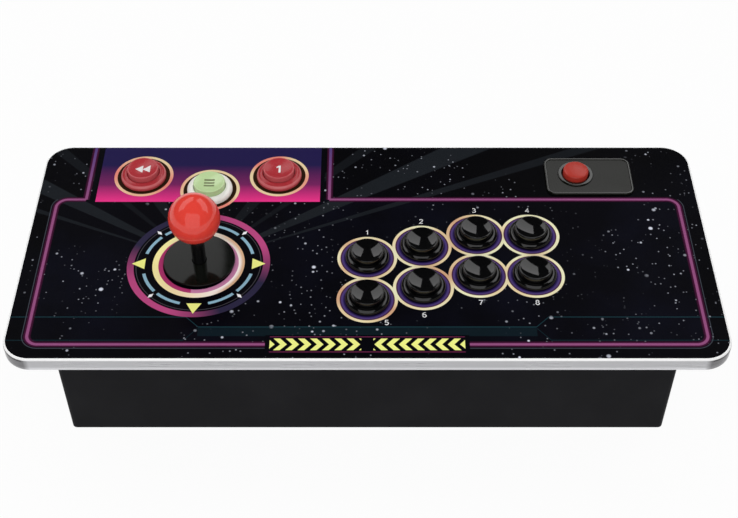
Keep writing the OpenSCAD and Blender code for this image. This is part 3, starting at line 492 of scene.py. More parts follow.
def highlighted_plastic(name, colour, nodes, highlight_bands, roughness, level):
    """Moulded plastic with painted highlights: paler in bands of (inner radius, outer radius,
    share) round some nodes.
    """
    finish = Finish(name)
    across, along, _ = finish.axes()
    near = nearest(across, along, nodes)
    scuff = finish.noise(0.9, 4, 0.6)
    share = scuff.over(0.62, 0.2) * 0.1
    # The paler bands are painted highlights; the scuffs above are wear.
    for inner, outer, pale in highlight_bands:
        share = share + near.between(inner, outer, 0.4) * pale
    finish.set(
        Base_Color=finish.mix(colour, shaded(colour, 1.3, 0.2), share.held()),
        Roughness=scuff.over(0.6, 0.2) * 0.08 + roughness,
        Specular_IOR_Level=level,
    )
    return finish.material


def satin_plastic(name, colour, roughness, level=0.5):
    """Moulded plastic with a spark-eroded grain, handled a little at random."""
    finish = Finish(name)
    fine = finish.noise(0.6, 3, 0.6)
    broad = finish.noise(45, 3)
    handled = broad.over(0.55, 0.3) * 0.5 + fine * 0.15
    finish.set(
        Base_Color=finish.mix(colour, shaded(colour, 1.35, 0.004), handled),
        Roughness=broad * 0.12 + fine * 0.08 + (roughness - 0.1),
        Specular_IOR_Level=level,
    )
    finish.bump(fine, 0.04)
    return finish.material


def plated_metal(name, colour, roughness, stretch=(1, 1, 1)):
    """Plated steel with fine draw lines and clouding."""
    finish = Finish(name)
    lines = finish.noise(1.2, 4, 0.6, stretch)
    cloud = finish.noise(10, 3)
    finish.set(
        Base_Color=finish.mix(colour, shaded(colour, 0.78), cloud.over(0.5, 0.3)),
        Roughness=lines * 0.14 + cloud * 0.1 + (roughness - 0.12),
        Metallic=1.0,
    )
    finish.bump(lines, 0.01)
    return finish.material


def bright_moulding(name, colour):
    """Metallised moulding: draw lines, a painted white highlight on its crown, a painted paler
    highlight on its foot and a painted dark reflection at its front bends.
    """
    finish = Finish(name)
    across, along, height = finish.axes()
    lines = finish.noise(0.6, 3, 0.6, (0.015, 0.015, 1))
    cloud = finish.noise(50, 3)
    low, high = EDGE_LOW / MM, EDGE_HIGH / MM
    # Painted highlight: the crown near the top is laid white.
    crown = height.over(high.z - CROWN_HIGHLIGHT_DROP, 0.6)
    # Painted highlight: the foot is laid paler.
    foot = height.under(low.z + FOOT_HIGHLIGHT_RISE, 1.6)
    drawn = lines.over(0.5, 0.4) * 0.4 + cloud * 0.3
    face = finish.mix(finish.mix(colour, shaded(colour, 0.9), drawn), shaded(colour, 1.4), foot)
    # Painted dark reflection: a darker line and patches where the moulding bends round the front
    # corners.
    bend = (abs(across) - (high.x - CORNER_R)) / CORNER_R
    front = along.under(low.y + CORNER_R)
    line = height.over(high.z - BEND_REFLECTION_DROP, 0.8) * bend.between(0.2, 0.97, 0.1)
    patch = bend.between(0.1, 0.85, 0.2) * (lines * 0.5 + 0.45)
    face = finish.mix(face, BEND_REFLECTION_COLOUR, line.most(patch) * front)
    finish.set(
        Base_Color=finish.mix(face, (1, 1, 1), crown),
        Roughness=lines * 0.06 + cloud * 0.1 + 0.2,
        Metallic=(1 - crown) * 0.3,
    )
    finish.bump(lines, 0.006)
    return finish.material


def fibreboard(name, colour):
    """Raw edge and underside of pressed board: short fibres and specks."""
    finish = Finish(name)
    fibre = finish.noise(1.2, 5, 0.7, (0.3, 0.3, 2))
    speck, _ = finish.cells(1.6)
    darker = (fibre.over(0.5, 0.3) * 0.6 + speck.under(0.25, 0.1) * 0.4).held()
    finish.set(Base_Color=finish.mix(colour, shaded(colour, 0.45), darker), Roughness=0.85)
    finish.bump(fibre, 0.15)
    return finish.material


def solder_mask(name, colour):
    """Circuit board: green mask over a square net of faint tracks."""
    finish = Finish(name)
    across, along, _ = finish.axes()
    tracks = [(place / TRACK_STEP).fraction().between(0.4, 0.6, 0.05) for place in (across, along)]
    net = tracks[0].most(tracks[1])
    cell, _ = finish.cells(6)
    finish.set(
        Base_Color=finish.mix(colour, shaded(colour, 1.9), net * cell.under(0.45, 0.02)),
        Roughness=cell * 0.1 + 0.25,
    )
    finish.bump(net, 0.03)
    return finish.material


def flat_ink(name, colour):
    """Screen-printed ink, a little uneven."""
    finish = Finish(name)
    thin = finish.noise(0.8, 3, 0.6)
    finish.set(
        Base_Color=finish.mix(colour, shaded(colour, 0.85), thin.over(0.5, 0.4)),
        Roughness=thin * 0.1 + 0.35,
    )
    finish.bump(thin, 0.005)
    return finish.material


def soft_rubber(name, colour):
    """Matt rubber with a dusty bloom."""
    finish = Finish(name)
    bloom = finish.noise(4, 4, 0.6)
    finish.set(
        Base_Color=finish.mix(colour, shaded(colour, 2.2, 0.01), bloom.over(0.5, 0.4) * 0.5),
        Roughness=bloom * 0.15 + 0.7,
    )
    finish.bump(bloom, 0.05)
    return finish.material


# Printed sheet


class Sheet:
    """The printed sheet's drawing, laid down ink by ink over its ground."""

    def __init__(self, finish, ink):
        self.finish = finish
        self.ink = ink
        self.x, self.y, _ = finish.axes()
        self.colour = ink.ground

    def lay(self, colour, share):
        self.colour = self.finish.mix(self.colour, colour, share)

    def blend(self, first, second, value, start, span):
        """One colour that turns into another while a value goes from start over a span."""
        return self.finish.mix(first, second, ((value - start) / span).held())

    def from_box(self, left, right, front, back, radius):
        """Distance out of a rectangle with round corners, negative inside it."""
        across = abs(self.x - (left + right) / 2) - ((right - left) / 2 - radius)
        along = abs(self.y - (front + back) / 2) - ((back - front) / 2 - radius)
        outside = (across.most(0) * across.most(0) + along.most(0) * along.most(0)).root()
        return outside + across.most(along).least(0) - radius

    def frame(self):
        """The stripe's rectangle: left, right, front, back and corner radius."""
        ink = self.ink
        left, right = EDGE_LOW.x + ink.stripe_side, EDGE_HIGH.x - ink.stripe_side
        front, back = EDGE_LOW.y + ink.stripe_front, EDGE_LOW.y + ink.frame_depth
        return [length / MM for length in (left, right, front, back, ink.stripe_r)]

    def posts(self):
        """Where the stripe's two posts stand beside the menu panel."""
        first = self.frame()[0] + self.ink.post_in / MM
        return first, first + self.ink.post_gap / MM

    def ground(self):
        """Night sky: faint clouds, a darker border, a few broad beams, and stars of three sizes."""
        ink = self.ink
        cloud = self.finish.noise(110, 4, 0.6)
        self.lay(ink.haze, cloud.over(0.56, 0.25) * 0.5)
        self.lay(ink.shade, self.from_box(*self.frame()).over(2, 2) * 0.6)
        self.beams(cloud)
        drift = self.finish.noise(60, 3, 0.6)
        for size, reach, rare, shine in STAR_FIELDS:
            gap, parts = self.finish.cells(size, FLAT)
            lit = parts[0].over(rare, 0.01) * (parts[1] * 0.6 + 0.6) * drift.over(0.5, 0.12)
            self.lay(ink.star, gap.under(reach, reach * 0.6) * lit * shine)

    def beams(self, cloud):
        """Faint beams that fan out from the joystick to the rear, alike on both sides."""
        spot = middle("joystick_plate") / MM
        lean = abs(self.x - spot.x).arctan2(self.y - spot.y) * DEGREES
        first, *others = [lean.between(low, high, soft) * share for low, high, soft, share in BEAMS]
        self.lay(self.ink.beam, (sum(others, first) * (cloud + 0.4)).held())

    def teal_line(self):
        """A thin line along the front, which steps forward round the banner, and its echo."""
        step = TEAL_REAR - TEAL_FRONT
        share = ((abs(self.x) - TEAL_STEP) / step).held()
        line = abs(self.y - (share * step + TEAL_FRONT)).under(TEAL_HALF, 0.3)
        echo_y = TEAL_FRONT - ECHO_GAP - share * step * ECHO_STEP_SHARE
        echo = abs(self.y - echo_y).under(ECHO_HALF, 0.3) * share.over(0.02, 0.01)
        self.lay(self.ink.teal, line.most(echo * 0.6))
        haze = self.y.between(TEAL_FRONT - TEAL_HAZE, TEAL_FRONT) * abs(self.x).under(TEAL_STEP)
        self.lay(self.ink.teal, haze * 0.2)

    def stripe(self):
        """The line round the sheet, with its glow, which breaks at the menu panel and banner."""
        ink = self.ink
        core, halo = ink.stripe_w / MM / 2, ink.glow_w / MM / 2
        _, _, front, back, _ = self.frame()
        first_post, second_post = self.posts()
        outward = self.from_box(*self.frame())
        post_gap = abs(self.x - first_post).least(abs(self.x - second_post))
        post_gap = post_gap + (back - self.y).most(0) * POST_TAPER
        panel = self.x.between(first_post, second_post) * self.y.over(back - 2 * halo)
        banner = abs(self.x).under(ink.banner_w / MM / 2 + BANNER_EDGE)
        banner = banner * self.y.under(front + 2 * halo)
        gap = (abs(outward) + panel * BREAK + banner * BREAK).least(post_gap)
        outer = outward.between(halo + OUTLINE_NEAR, halo + OUTLINE_FAR, 0.4)
        self.lay(ink.outline, outer * self.y.under(back) * 0.6)
        self.lay(ink.glow, gap.under(halo, 0.8))
        line = self.blend(ink.stripe, ink.violet, self.y, back, EDGE_HIGH.y / MM - back)
        self.lay(line, gap.under(core, 0.5))

    def menu_panel(self):
        """The panel behind the menu buttons, navy at the rear and pink at its front edge."""
        ink = self.ink
        first_post = self.posts()[0]
        left = first_post + PANEL_GAP
        right = left + ink.panel_w / MM
        rear = EDGE_HIGH.y / MM
        low = rear - ink.panel_d / MM
        share = (rear - self.y) / (rear - low)
        fill = self.blend(ink.navy, ink.plum, share, 0.35, 0.4)
        fill = self.blend(fill, ink.pink, share, 0.7, 0.28)
        deep = self.y.over(low)
        self.lay(ink.ground, self.x.between(first_post + PANEL_EDGE, right + PANEL_EDGE) * deep)
        self.lay(fill, self.x.between(left, right) * deep)

    def play_rings(self):
        """A violet ring and a cream ring round each play button, joined where they touch."""
        ink = self.ink
        gap = nearest(self.x, self.y, PLAY_BUTTONS)
        shade = self.finish.noise(35, 1)
        cream = self.blend(ink.cream, ink.ivory, shade, 0.45, 0.15)
        cream = self.blend(ink.tan, cream, shade, 0.33, 0.12)
        self.lay(cream, gap.under(PLAY_CREAM_R))
        self.lay(ink.wine, gap.under(PLAY_LINE_R))
        self.lay(ink.violet, gap.under(PLAY_VIOLET_R))
        self.lay(ink.midnight, gap.under(PLAY_WELL_R, 0.6))

    def menu_rings(self):
        """A cream ring round each menu button."""
        ink = self.ink
        gap = nearest(self.x, self.y, MENU_BUTTONS)
        shade = self.finish.noise(50, 1)
        cream = self.blend(ink.cream, ink.coral, shade, 0.42, 0.2)
        self.lay(cream, gap.under(MENU_CREAM_R))
        self.lay(ink.umber, gap.under(MENU_WELL_R))

    def joystick_rings(self):
        """Rings, dashes, diamonds and arrowheads round the joystick."""
        ink = self.ink
        spot = middle("joystick_plate") / MM
        across = self.x - (spot.x + STICK_SHIFT[0])
        along = self.y - (spot.y + STICK_SHIFT[1])
        gap = (across * across + along * along).root()
        slant = (across + along) * DIAGONAL
        warm = (slant * slant) / (gap * gap + 0.01)
        self.lay(ink.ground, gap.under(STICK_OUTER_R))
        band = self.blend(ink.indigo, ink.rose, warm, 0.15, 0.7)
        self.lay(band, gap.between(STICK_BAND_R, STICK_OUTER_R))
        self.lay(ink.slate, gap.between(*STICK_LINE))
        folded = abs(along).arctan2(abs(across)) * DEGREES
        first, second = [folded.between(low, high, 0.6) for low, high in DASH_ANGLES]
        self.lay(ink.sky, first.most(second) * gap.between(*STICK_DASH))
        side = (abs(across) - abs(along)) * DIAGONAL
        reach = (abs(across) + abs(along)) * DIAGONAL
        diamonds = abs(side) * 2 + abs(reach - DIAMOND_R)
        self.lay(ink.frost, diamonds.under(DIAMOND_HALF, 0.3))
        for run, side in ((across, along), (along, across)):
            width = (HEAD_TIP - abs(run)) * HEAD_LEAN
            head = abs(run).between(HEAD_FOOT, HEAD_TIP) * (abs(side) - width).under(0)
            self.lay(ink.lemon, head)
        pale = self.blend(ink.milk, ink.sand, along, 0, PALE_DEPTH)
        pale = self.blend(pale, ink.straw, across * -1 - along * 0.6, 0, PALE_WIDTH)
        pale = self.blend(pale, ink.butter, across * -1 + along * 0.4, BUTTER_FROM, PALE_WIDTH)
        edge = across.over(PALE_EDGE_X, 10) * gap.over(PALE_EDGE_R, 2)
        self.lay(self.finish.mix(pale, ink.caramel, edge), gap.under(STICK_PALE_R))
        inner = self.finish.mix(ink.berry, ink.blush, across.over(BLUSH_X, 1))
        self.lay(inner, gap.under(STICK_BLUSH_R))
        self.lay(ink.ground, gap.under(STICK_WELL_R))

    def banner(self):
        """Two runs of chevrons that point to the middle, between two thin lines."""
        ink = self.ink
        half_w, half_h = ink.banner_w / MM / 2, ink.banner_h / MM / 2
        across = abs(self.x)
        along = abs(self.y - (EDGE_LOW.y + ink.stripe_front) / MM)
        steps = ((across - along * CHEVRON_LEAN) / CHEVRON_STEP + 0.5).fraction()
        inside = across.under(half_w)
        field = inside * along.under(half_h) * across.over(CHEVRON_GAP)
        backing = across.under(half_w + BANNER_EDGE) * along.under(half_h + BANNER_EDGE)
        self.lay(ink.ground, backing)
        self.lay(ink.lemon, field * steps.between(*CHEVRON_SHARES, 0.03))
        low, high = BANNER_LINE
        self.lay(ink.mulberry, inside * along.between(half_h + low, half_h + high))


def printed_sheet(ink):
    """Laminated print: the drawing, a slow ripple and fine handling marks."""
    finish = Finish("printed_sheet")
    sheet = Sheet(finish, ink)
    sheet.ground()
    sheet.teal_line()
    sheet.stripe()
    sheet.menu_panel()
    sheet.play_rings()
    sheet.menu_rings()
    sheet.joystick_rings()
    sheet.banner()
    marks = finish.noise(2, 4, 0.7)
    slow = finish.noise(40, 2)
    finish.set(
        Base_Color=sheet.colour,
        Roughness=marks * 0.12 + slow * 0.1 + 0.3,
        Specular_IOR_Level=0.03,
    )
    finish.bump(slow, 0.03)
    return finish.material


# Meshes


def mesh_of(name, points, edges, faces):
    mesh = bpy.data.meshes.new(name)
    mesh.from_pydata(points, edges, faces)
    return mesh


def placed(name, content):
    """A mesh, lamp or camera as an object in the scene."""
    made = bpy.data.objects.new(name, content)
    bpy.context.scene.collection.objects.link(made)
    return made


def piece(name, shape, material, body, replaced=()):
    """A finished mesh piece, from its points and faces."""
    points, faces = shape
    made = placed(name, mesh_of(name, points, [], faces))
    made.data.materials.append(material)
    return dress(made, body, replaced)


def dress(made, body, replaced):
    """Smooths a piece up to its sharp edges, and hangs it on its body."""
    made.data.shade_smooth()
    made.data.set_sharp_from_angle(angle=LEAST_BEND)
    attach(made, body)
    if replaced:
        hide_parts(*replaced)
    return made


def eased(outline):
    """An outline whose points may carry a fillet, (x, y) or (x, y, fillet), with them drawn."""
    result = []
    for index, (*spot, fillet) in enumerate((*point, 0)[:3] for point in outline):
        here = Vector(spot)
        if not fillet:
            result.append(here)
            continue
        before = (Vector(outline[index - 1][:2]) - here).normalized() * fillet
        after = (Vector(outline[(index + 1) % len(outline)][:2]) - here).normalized() * fillet
        for step in range(FILLET_STEPS + 1):
            share = step / FILLET_STEPS
            result.append(here + before * (1 - share) ** 2 + after * share**2)
    return result


def arc(x, y, across, along, start, end, steps=ARC_STEPS):
    """Points of part of an ellipse, between two angles in degrees."""
    angles = [math.radians(start + (end - start) * step / steps) for step in range(steps + 1)]
    return [(x + across * math.cos(angle), y + along * math.sin(angle)) for angle in angles]


def skin(rings, hollow):
    """Points and faces through rings of points that each have one point or the same number.

    A hollow one goes on from its last ring to its first.
    """
    points, faces, order = [], [], []
    for ring in rings:
        order.append([len(points) + index for index in range(len(ring))])
        points += ring
    turns = max(len(ring) for ring in rings)
    for index in range(len(order) if hollow else len(order) - 1):
        low, high = order[index], order[(index + 1) % len(order)]
        for turn in range(turns):
            ahead = (turn + 1) % turns
            corners = [low[turn % len(low)], low[ahead % len(low)]]
            corners += [high[ahead % len(high)], high[turn % len(high)]]
            corners = list(dict.fromkeys(corners))
            if len(corners) > 2:
                faces.append(corners)
    return points, faces


def turned(outline, turns, centre=(0, 0, 0), hollow=False):
    """An outline of radius and height, in millimetres, turned round the Z axis.

    It runs upwards on the outside, so that faces point outwards. A hollow one closes on itself.
    """
    place, rings = Vector(centre), []
    for radius, height in outline:
        spokes = range(1 if radius < ON_AXIS else turns)
        angles = [2 * math.pi * spoke / turns for spoke in spokes]
        ring = [(radius * math.cos(angle), radius * math.sin(angle), height) for angle in angles]
        rings.append([place + Vector(point) * MM for point in ring])
    return skin(rings, hollow)


def joined(*shapes):
    """Several shapes as one."""
    points, faces = [], []
    for more_points, more_faces in shapes:
        faces += [[corner + len(points) for corner in face] for face in more_faces]
        points += more_points
    return points, faces


def cuboid(low, high):
    """A cuboid between two corners, in millimetres."""
    spans = list(zip(low, high))
    points = [Vector((x, y, z)) * MM for x in spans[0] for y in spans[1] for z in spans[2]]
    faces = [[0, 1, 3, 2], [4, 6, 7, 5], [0, 4, 5, 1], [2, 3, 7, 6], [0, 2, 6, 4], [1, 5, 7, 3]]
    return points, faces


def leaf_shape(front, back, rise, place):
    """A spring leaf from its tip to the bend at its back, where it stands on a post."""
    inner = back - LEAF_T
    outline = [(back, -rise), (back, 0, LEAF_BEND_R), (front, 0, LEAF_TIP_R), (front, -LEAF_T)]
    outline = eased([*outline, (inner, -LEAF_T, LEAF_BEND_R - LEAF_T), (inner, -rise)])
    sides = (-LEAF_W / 2, LEAF_W / 2)
    points = [place @ (Vector((side, *spot)) * MM) for spot in outline for side in sides]
    lefts = [2 * index for index in range(len(outline))]
    faces = [[a, b, b + 1, a + 1] for a, b in zip(lefts, [*lefts[1:], lefts[0]])]
    return points, [*faces, [left + 1 for left in lefts], lefts[::-1]]


def patch(corners, height):
    """A four-cornered sheet, in millimetres, that lies on a surface of known height."""
    first, second, third, fourth = (Vector(corner) for corner in corners)
    points, faces = [], []
    for row in range(PATCH_STEPS + 1):
        for column in range(PATCH_STEPS + 1):
            near = first.lerp(second, column / PATCH_STEPS)
            far = fourth.lerp(third, column / PATCH_STEPS)
            spot = near.lerp(far, row / PATCH_STEPS)
            points.append(Vector((spot.x, spot.y, height(spot.length))) * MM)
            if row and column:
                corner = len(points) - 1
                across = corner - PATCH_STEPS - 1
                faces.append([across - 1, across, corner, corner - 1])
    return points, faces


def ribbon(path, width):
    """A flat stroke along a path, in the path's own units, with mitred bends."""
    spots = [Vector(point) for point in path]
    edges = []
    for index, spot in enumerate(spots):
        before = (spot - spots[index - 1]).normalized() if index else None
        after = (spots[index + 1] - spot).normalized() if index + 1 < len(spots) else None
        before, after = before or after, after or before
        lean = (before + after).normalized()
        side = Vector((-lean.y, lean.x)) * width / 2 / max(0.5, lean.dot(after))
        edges.append((spot - side, spot + side))
    points = [Vector((end.x, end.y, 0)) for pair in edges for end in pair]
    faces = [[2 * i, 2 * i + 2, 2 * i + 3, 2 * i + 1] for i in range(len(spots) - 1)]
    return points, faces


def node_tree(name, **inputs):
    """A geometry node tree with named inputs, and makers of its nodes and of its painted end."""
    tree = bpy.data.node_groups.new(name, "GeometryNodeTree")

    def socket(label, kind, side):
        kind = f"NodeSocket{kind}"
        return tree.interface.new_socket(name=label, in_out=side, socket_type=kind)

    socket("Geometry", "Geometry", "INPUT")
    sockets = {label: socket(label, kind, "INPUT") for label, kind in inputs.items()}
    socket("Geometry", "Geometry", "OUTPUT")
    start, end = tree.nodes.new("NodeGroupInput"), tree.nodes.new("NodeGroupOutput")

    def add(kind, settings=None, **links):
        node = tree.nodes.new(f"GeometryNode{kind}")
        for key, item in (settings or {}).items():
            setattr(node, key, item)
        feed_named(tree, node, links)
        return node.outputs

    def finished(geometry):
        painted = add("SetMaterial", Geometry=geometry, Material=start.outputs["Finish"])
        tree.links.new(painted[0], end.inputs["Geometry"])

    return tree, sockets, start.outputs, add, finished


def grown(name, tree, sockets, carrier, values, helpers=()):
    """Runs a node tree on a carrier mesh and keeps the result as a plain mesh object."""
    base = placed(name + "_carrier", carrier)
    modifier = base.modifiers.new("Build", "NODES")
    modifier.node_group = tree
    for label, item in values.items():
        modifier[sockets[label].identifier] = item
    evaluated = base.evaluated_get(bpy.context.evaluated_depsgraph_get())
    plain = bpy.data.meshes.new_from_object(evaluated)
    plain.name = name
    for helper in (base, *helpers):
        bpy.data.objects.remove(helper)
    return placed(name, plain)


def repeated(name, shape, places, material):
    """One shape set at each place by a node tree."""
    tree, sockets, given, add, finished = node_tree(name, Unit="Object", Finish="Material")
    unit = add("ObjectInfo", Object=given["Unit"])["Geometry"]
    spread = add("InstanceOnPoints", Points=given["Geometry"], Instance=unit)[0]
    finished(add("RealizeInstances", Geometry=spread)[0])
    carrier = mesh_of(name + "_places", places, [], [])
    points, faces = shape
    unit = placed(name + "_unit", mesh_of(name + "_unit", points, [], faces))
    return grown(name, tree, sockets, carrier, {"Unit": unit, "Finish": material}, [unit])


def swept(name, width, depth, radius, outline, height, material):
    """An outline of reach and height, in millimetres, carried round a round-cornered rectangle."""
    sizes = {"Width": width, "Depth": depth, "Radius": radius}
    kinds = dict.fromkeys(sizes, "Float")
    tree, sockets, given, add, finished = node_tree(
        name, **kinds, Steps="Int", Height="Vector", Finish="Material"
    )
    path = add("CurvePrimitiveQuadrilateral", Width=given["Width"], Height=given["Depth"])[0]
    corners = {"Count": given["Steps"], "Radius": given["Radius"]}
    path = add("FilletCurve", {"mode": "POLY"}, Curve=path, **corners)[0]
    profile = add("MeshToCurve", Mesh=given["Geometry"])[0]
    band = add("CurveToMesh", Curve=path, Profile_Curve=profile)[0]
    finished(add("Transform", Geometry=band, Translation=given["Height"])[0])
    points = [(reach * MM, -rise * MM, 0) for reach, rise in reversed(outline)]
    loop = [(index, (index + 1) % len(points)) for index in range(len(points))]
    carrier = mesh_of(name + "_profile", points, loop, [])
    values = {**sizes, "Steps": SWEEP_STEPS, "Height": (0.0, 0.0, height), "Finish": material}
    return grown(name, tree, sockets, carrier, values)


def coils(names, places, radius, wire, turns, rise, material):
    """A coil spring standing on each place, each its own object. Lengths are in metres."""
    sizes = {"Radius": radius, "Wire": wire, "Turns": turns, "Rise": rise - 2 * wire}
    kinds = dict.fromkeys(sizes, "Float")
    tree, sockets, given, add, finished = node_tree(
        "coil", **kinds, Place="Vector", Finish="Material"
    )
    ends = {"Start_Radius": given["Radius"], "End_Radius": given["Radius"]}
    spiral = {"Resolution": COIL_STEPS, "Rotations": given["Turns"], "Height": given["Rise"]}
    path = add("CurveSpiral", **spiral, **ends)[0]
    profile = add("CurvePrimitiveCircle", Resolution=WIRE_STEPS, Radius=given["Wire"])[0]
    wound = add("CurveToMesh", Curve=path, Profile_Curve=profile, Fill_Caps=True)[0]
    finished(add("Transform", Geometry=wound, Translation=given["Place"])[0])
    made = []
    for name, place in zip(names, places):
        foot = (place[0], place[1], place[2] + wire)
        values = {**sizes, "Place": foot, "Finish": material}
        made.append(grown(name, tree, sockets, mesh_of(name + "_carrier", [], [], []), values))
    return made


def paint_nodes(material, *nodes):
    """Gives CAD nodes, whose shape is right as it is, their finish."""
    for node in nodes:
        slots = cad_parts[node].data.materials
        slots.clear()
        slots.append(material)


# Shapes of the pieces, with heights from the deck's top in millimetres


class Span:
    """The middle, the radius, and the least and greatest height of a CAD node."""

    def __init__(self, node):
        low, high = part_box(node)
        spot = (low + high) / 2
        self.centre = Vector((spot.x, spot.y, DECK_TOP))
        self.radius = (high.x - low.x) / 2 / MM
        self.foot = (low.z - DECK_TOP) / MM
        self.top = (high.z - DECK_TOP) / MM


def bezel_shape(span, turns):
    """A rounded bezel, its threaded barrel and the two arms that hold the switch."""
    width, height = span.radius - CROWN_R, span.top - CROWN_FOOT
    crown = arc(CROWN_R, CROWN_FOOT, width, height, 0, 90, CROWN_STEPS)
    floor = BARREL_FLOOR - BARREL_LEN
    ring = [(STEM_BORE_R, -BARREL_LEN), (BARREL_R, -BARREL_LEN, BARREL_FILLET), (BARREL_R, 0)]
    ring += [(span.radius, 0, BEZEL_FILLET), *crown[:-1], (BORE_R, span.top, BORE_FILLET)]
    ring += [(BORE_R, floor), (STEM_BORE_R, floor)]
    shapes = [turned(eased(ring), turns, hollow=True)]
    arm_top, lip_top = floor - BARREL_FLOOR / 2, span.foot + ARM_LIP_T
    for side in (-1, 1):
        for inner, top in ((ARM_GAP, arm_top), (ARM_GAP - ARM_LIP, lip_top)):
            low, high = sorted((side * inner, side * (ARM_GAP + ARM_T)))
            shapes.append(cuboid((low, -ARM_W / 2, span.foot), (high, ARM_W / 2, top)))
    return joined(*shapes)


def dish_height(span, dish):
    """The height of a plunger's hollow top at each radius."""
    bowl_r = span.radius - BOWL_INSET
    return lambda radius: span.top - BOWL_DROP - dish * (1 - (radius / bowl_r) ** 2)


def plunger_shape(span, finish):
    """A plunger with a hollow top, a skirt and the stem that presses its switch."""
    surface = dish_height(span, finish.dish / MM)
    bowl_r = span.radius - BOWL_INSET
    bowl = [bowl_r * (1 - step / BOWL_STEPS) for step in range(BOWL_STEPS + 1)]
    under, inner_r = span.top - CROWN_T, span.radius - WALL
    low = span.foot + STEM_TIP
    high = low + FLANGE_T
    stem = [(0, span.foot), (STEM_TIP_R, span.foot), (STEM_TIP_R, low)]
    stem += [(FLANGE_R, low), (FLANGE_R, high), (STEM_R, high), (STEM_R, under)]
    skirt = [(inner_r, under), (inner_r, -SKIRT), (span.radius, -SKIRT)]
    rim = [(span.radius, span.top, finish.rim / MM), (bowl_r + RIM_LAND, span.top - RIM_FALL)]
    top = [(radius, surface(radius)) for radius in bowl]
    return turned(eased([*stem, *skirt, *rim, *top]), finish.turns, span.centre)


def ball_shape(span, turns):
    """A ball with a flat foot and a bore for the shaft."""
    middle_z = span.top - span.radius
    rise = middle_z - span.foot
    lean = math.degrees(math.asin(rise / span.radius))
    ceiling = span.top - 2 * span.radius + BALL_BORE
    outline = [(0, ceiling), (BALL_BORE_R, ceiling), (BALL_BORE_R, span.foot)]
    outline += arc(0, middle_z, span.radius, span.radius, -lean, 90, turns // 2)
    outline[-1] = (0, span.top)
    return turned(outline, turns, span.centre)


def disc_shape(span, hole_r, fillet, turns):
    """A flat disc with a hole and a rounded rim."""
    outline = [(hole_r, span.foot), (span.radius, span.foot, fillet / 2)]
    outline += [(span.radius, span.top, fillet), (hole_r, span.top)]
    return turned(eased(outline), turns, span.centre, hollow=True)


def cap_shape(span, turns):
    """The power button's domed cap with its stem."""
    under, flange = span.top - CROWN_T, span.foot + CAP_STEM
    low, inner_r = flange + FLANGE_T, span.radius - WALL
    dome_r = (span.radius**2 + CAP_DOME**2) / (2 * CAP_DOME)
    reach = span.radius - CAP_FILLET
    outline = [(0, span.foot), (CAP_STEM_R, span.foot), (CAP_STEM_R, flange)]
    outline += [(CAP_FLANGE_R, flange), (CAP_FLANGE_R, low), (CAP_POST_R, low)]
    outline += [(CAP_POST_R, under), (inner_r, under), (inner_r, -CAP_SKIRT)]
    outline += [(span.radius, -CAP_SKIRT), (span.radius, span.top - CAP_DOME, CAP_FILLET)]
    for step in range(DOME_STEPS + 1):
        radius = reach - reach * step / DOME_STEPS
        outline.append((radius, span.top - dome_r + math.sqrt(dome_r**2 - radius * radius)))
    return turned(eased(outline), turns, span.centre)


def collar_shape(span, bore_r, turns):
    """The power button's collar: a low round lip, a wide mouth and a barrel below the deck."""
    top, foot = span.top, span.foot
    mouth_r, floor = bore_r + MOUTH, foot + BARREL_FLOOR
    outline = [(COLLAR_HOLE_R, foot), (COLLAR_BARREL_R, foot), (COLLAR_BARREL_R, top - COLLAR_H)]
    outline += [(span.radius, top - COLLAR_H, FOOT_FILLET), (span.radius, top, COLLAR_FILLET)]
    outline += [(mouth_r, top, MOUTH_FILLET), (mouth_r, top - MOUTH_DEPTH)]
    outline += [(bore_r, top - MOUTH_DEPTH - MOUTH), (bore_r, floor), (COLLAR_HOLE_R, floor)]
    return turned(eased(outline), turns, span.centre, hollow=True)


def round_box(width, depth, radius):
    """Points round a rectangle with round corners, about its middle."""
    points = []
    for quarter, (x, y) in enumerate(((1, 1), (-1, 1), (-1, -1), (1, -1))):
        centre = x * (width / 2 - radius), y * (depth / 2 - radius)
        points += arc(*centre, radius, radius, 90 * quarter, 90 * quarter + 90, CORNER_STEPS)
    return points


def plate_shape(node, hole, hole_r):
    """A plate with a raised rim all round and a round hole."""
    low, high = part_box(node)
    width, depth, thick = (high - low) / MM
    spot = (low + high) / 2
    land = thick - PLATE_LIP_H
    rim = [(0, 0), (0, thick, PLATE_FILLET), (PLATE_LIP, thick, LIP_FILLET)]
    rim += [(PLATE_LIP, land, LAND_FILLET), (PLATE_LIP + PLATE_LAND, land)]
    levels = []
    for inset, height in eased(rim)[:-1]:
        ring = round_box(width - 2 * inset, depth - 2 * inset, PLATE_R - inset)
        levels.append((spot, ring, height))
    count = len(ring)
    round_hole = arc(0, 0, hole_r, hole_r, 0, 360 - 360 / count, count - 1)
    levels += [(hole, round_hole, land), (hole, round_hole, 0)]
    rings = [
        [Vector((x * MM + about.x, y * MM + about.y, low.z + height * MM)) for x, y in ring]
        for about, ring, height in levels
    ]
    return skin(rings, hollow=True)


def digit_paths():
    """Strokes of the numbers 1 to 8 in a box one unit high."""
    return [
        [(0.1, 0.8), (0.35, 1), (0.35, 0)],
        [*arc(0.3, 0.72, 0.28, 0.28, 160, -35), (0, 0), (0.6, 0)],
        [*arc(0.28, 0.76, 0.25, 0.24, 150, -90), *arc(0.28, 0.26, 0.3, 0.26, 85, -150)],
        [(0.45, 0), (0.45, 1), (0, 0.3), (0.62, 0.3)],
        [(0.55, 1), (0.1, 1), (0.06, 0.55), *arc(0.28, 0.31, 0.3, 0.31, 130, -150)],
        [*arc(0.42, 0.62, 0.4, 0.38, 75, 170), *arc(0.3, 0.3, 0.29, 0.3, 180, 540)],
        [(0, 1), (0.6, 1), (0.2, 0)],
        [*arc(0.3, 0.77, 0.23, 0.23, -90, 265), *arc(0.3, 0.27, 0.29, 0.27, 90, 450)],
    ]


# Operators


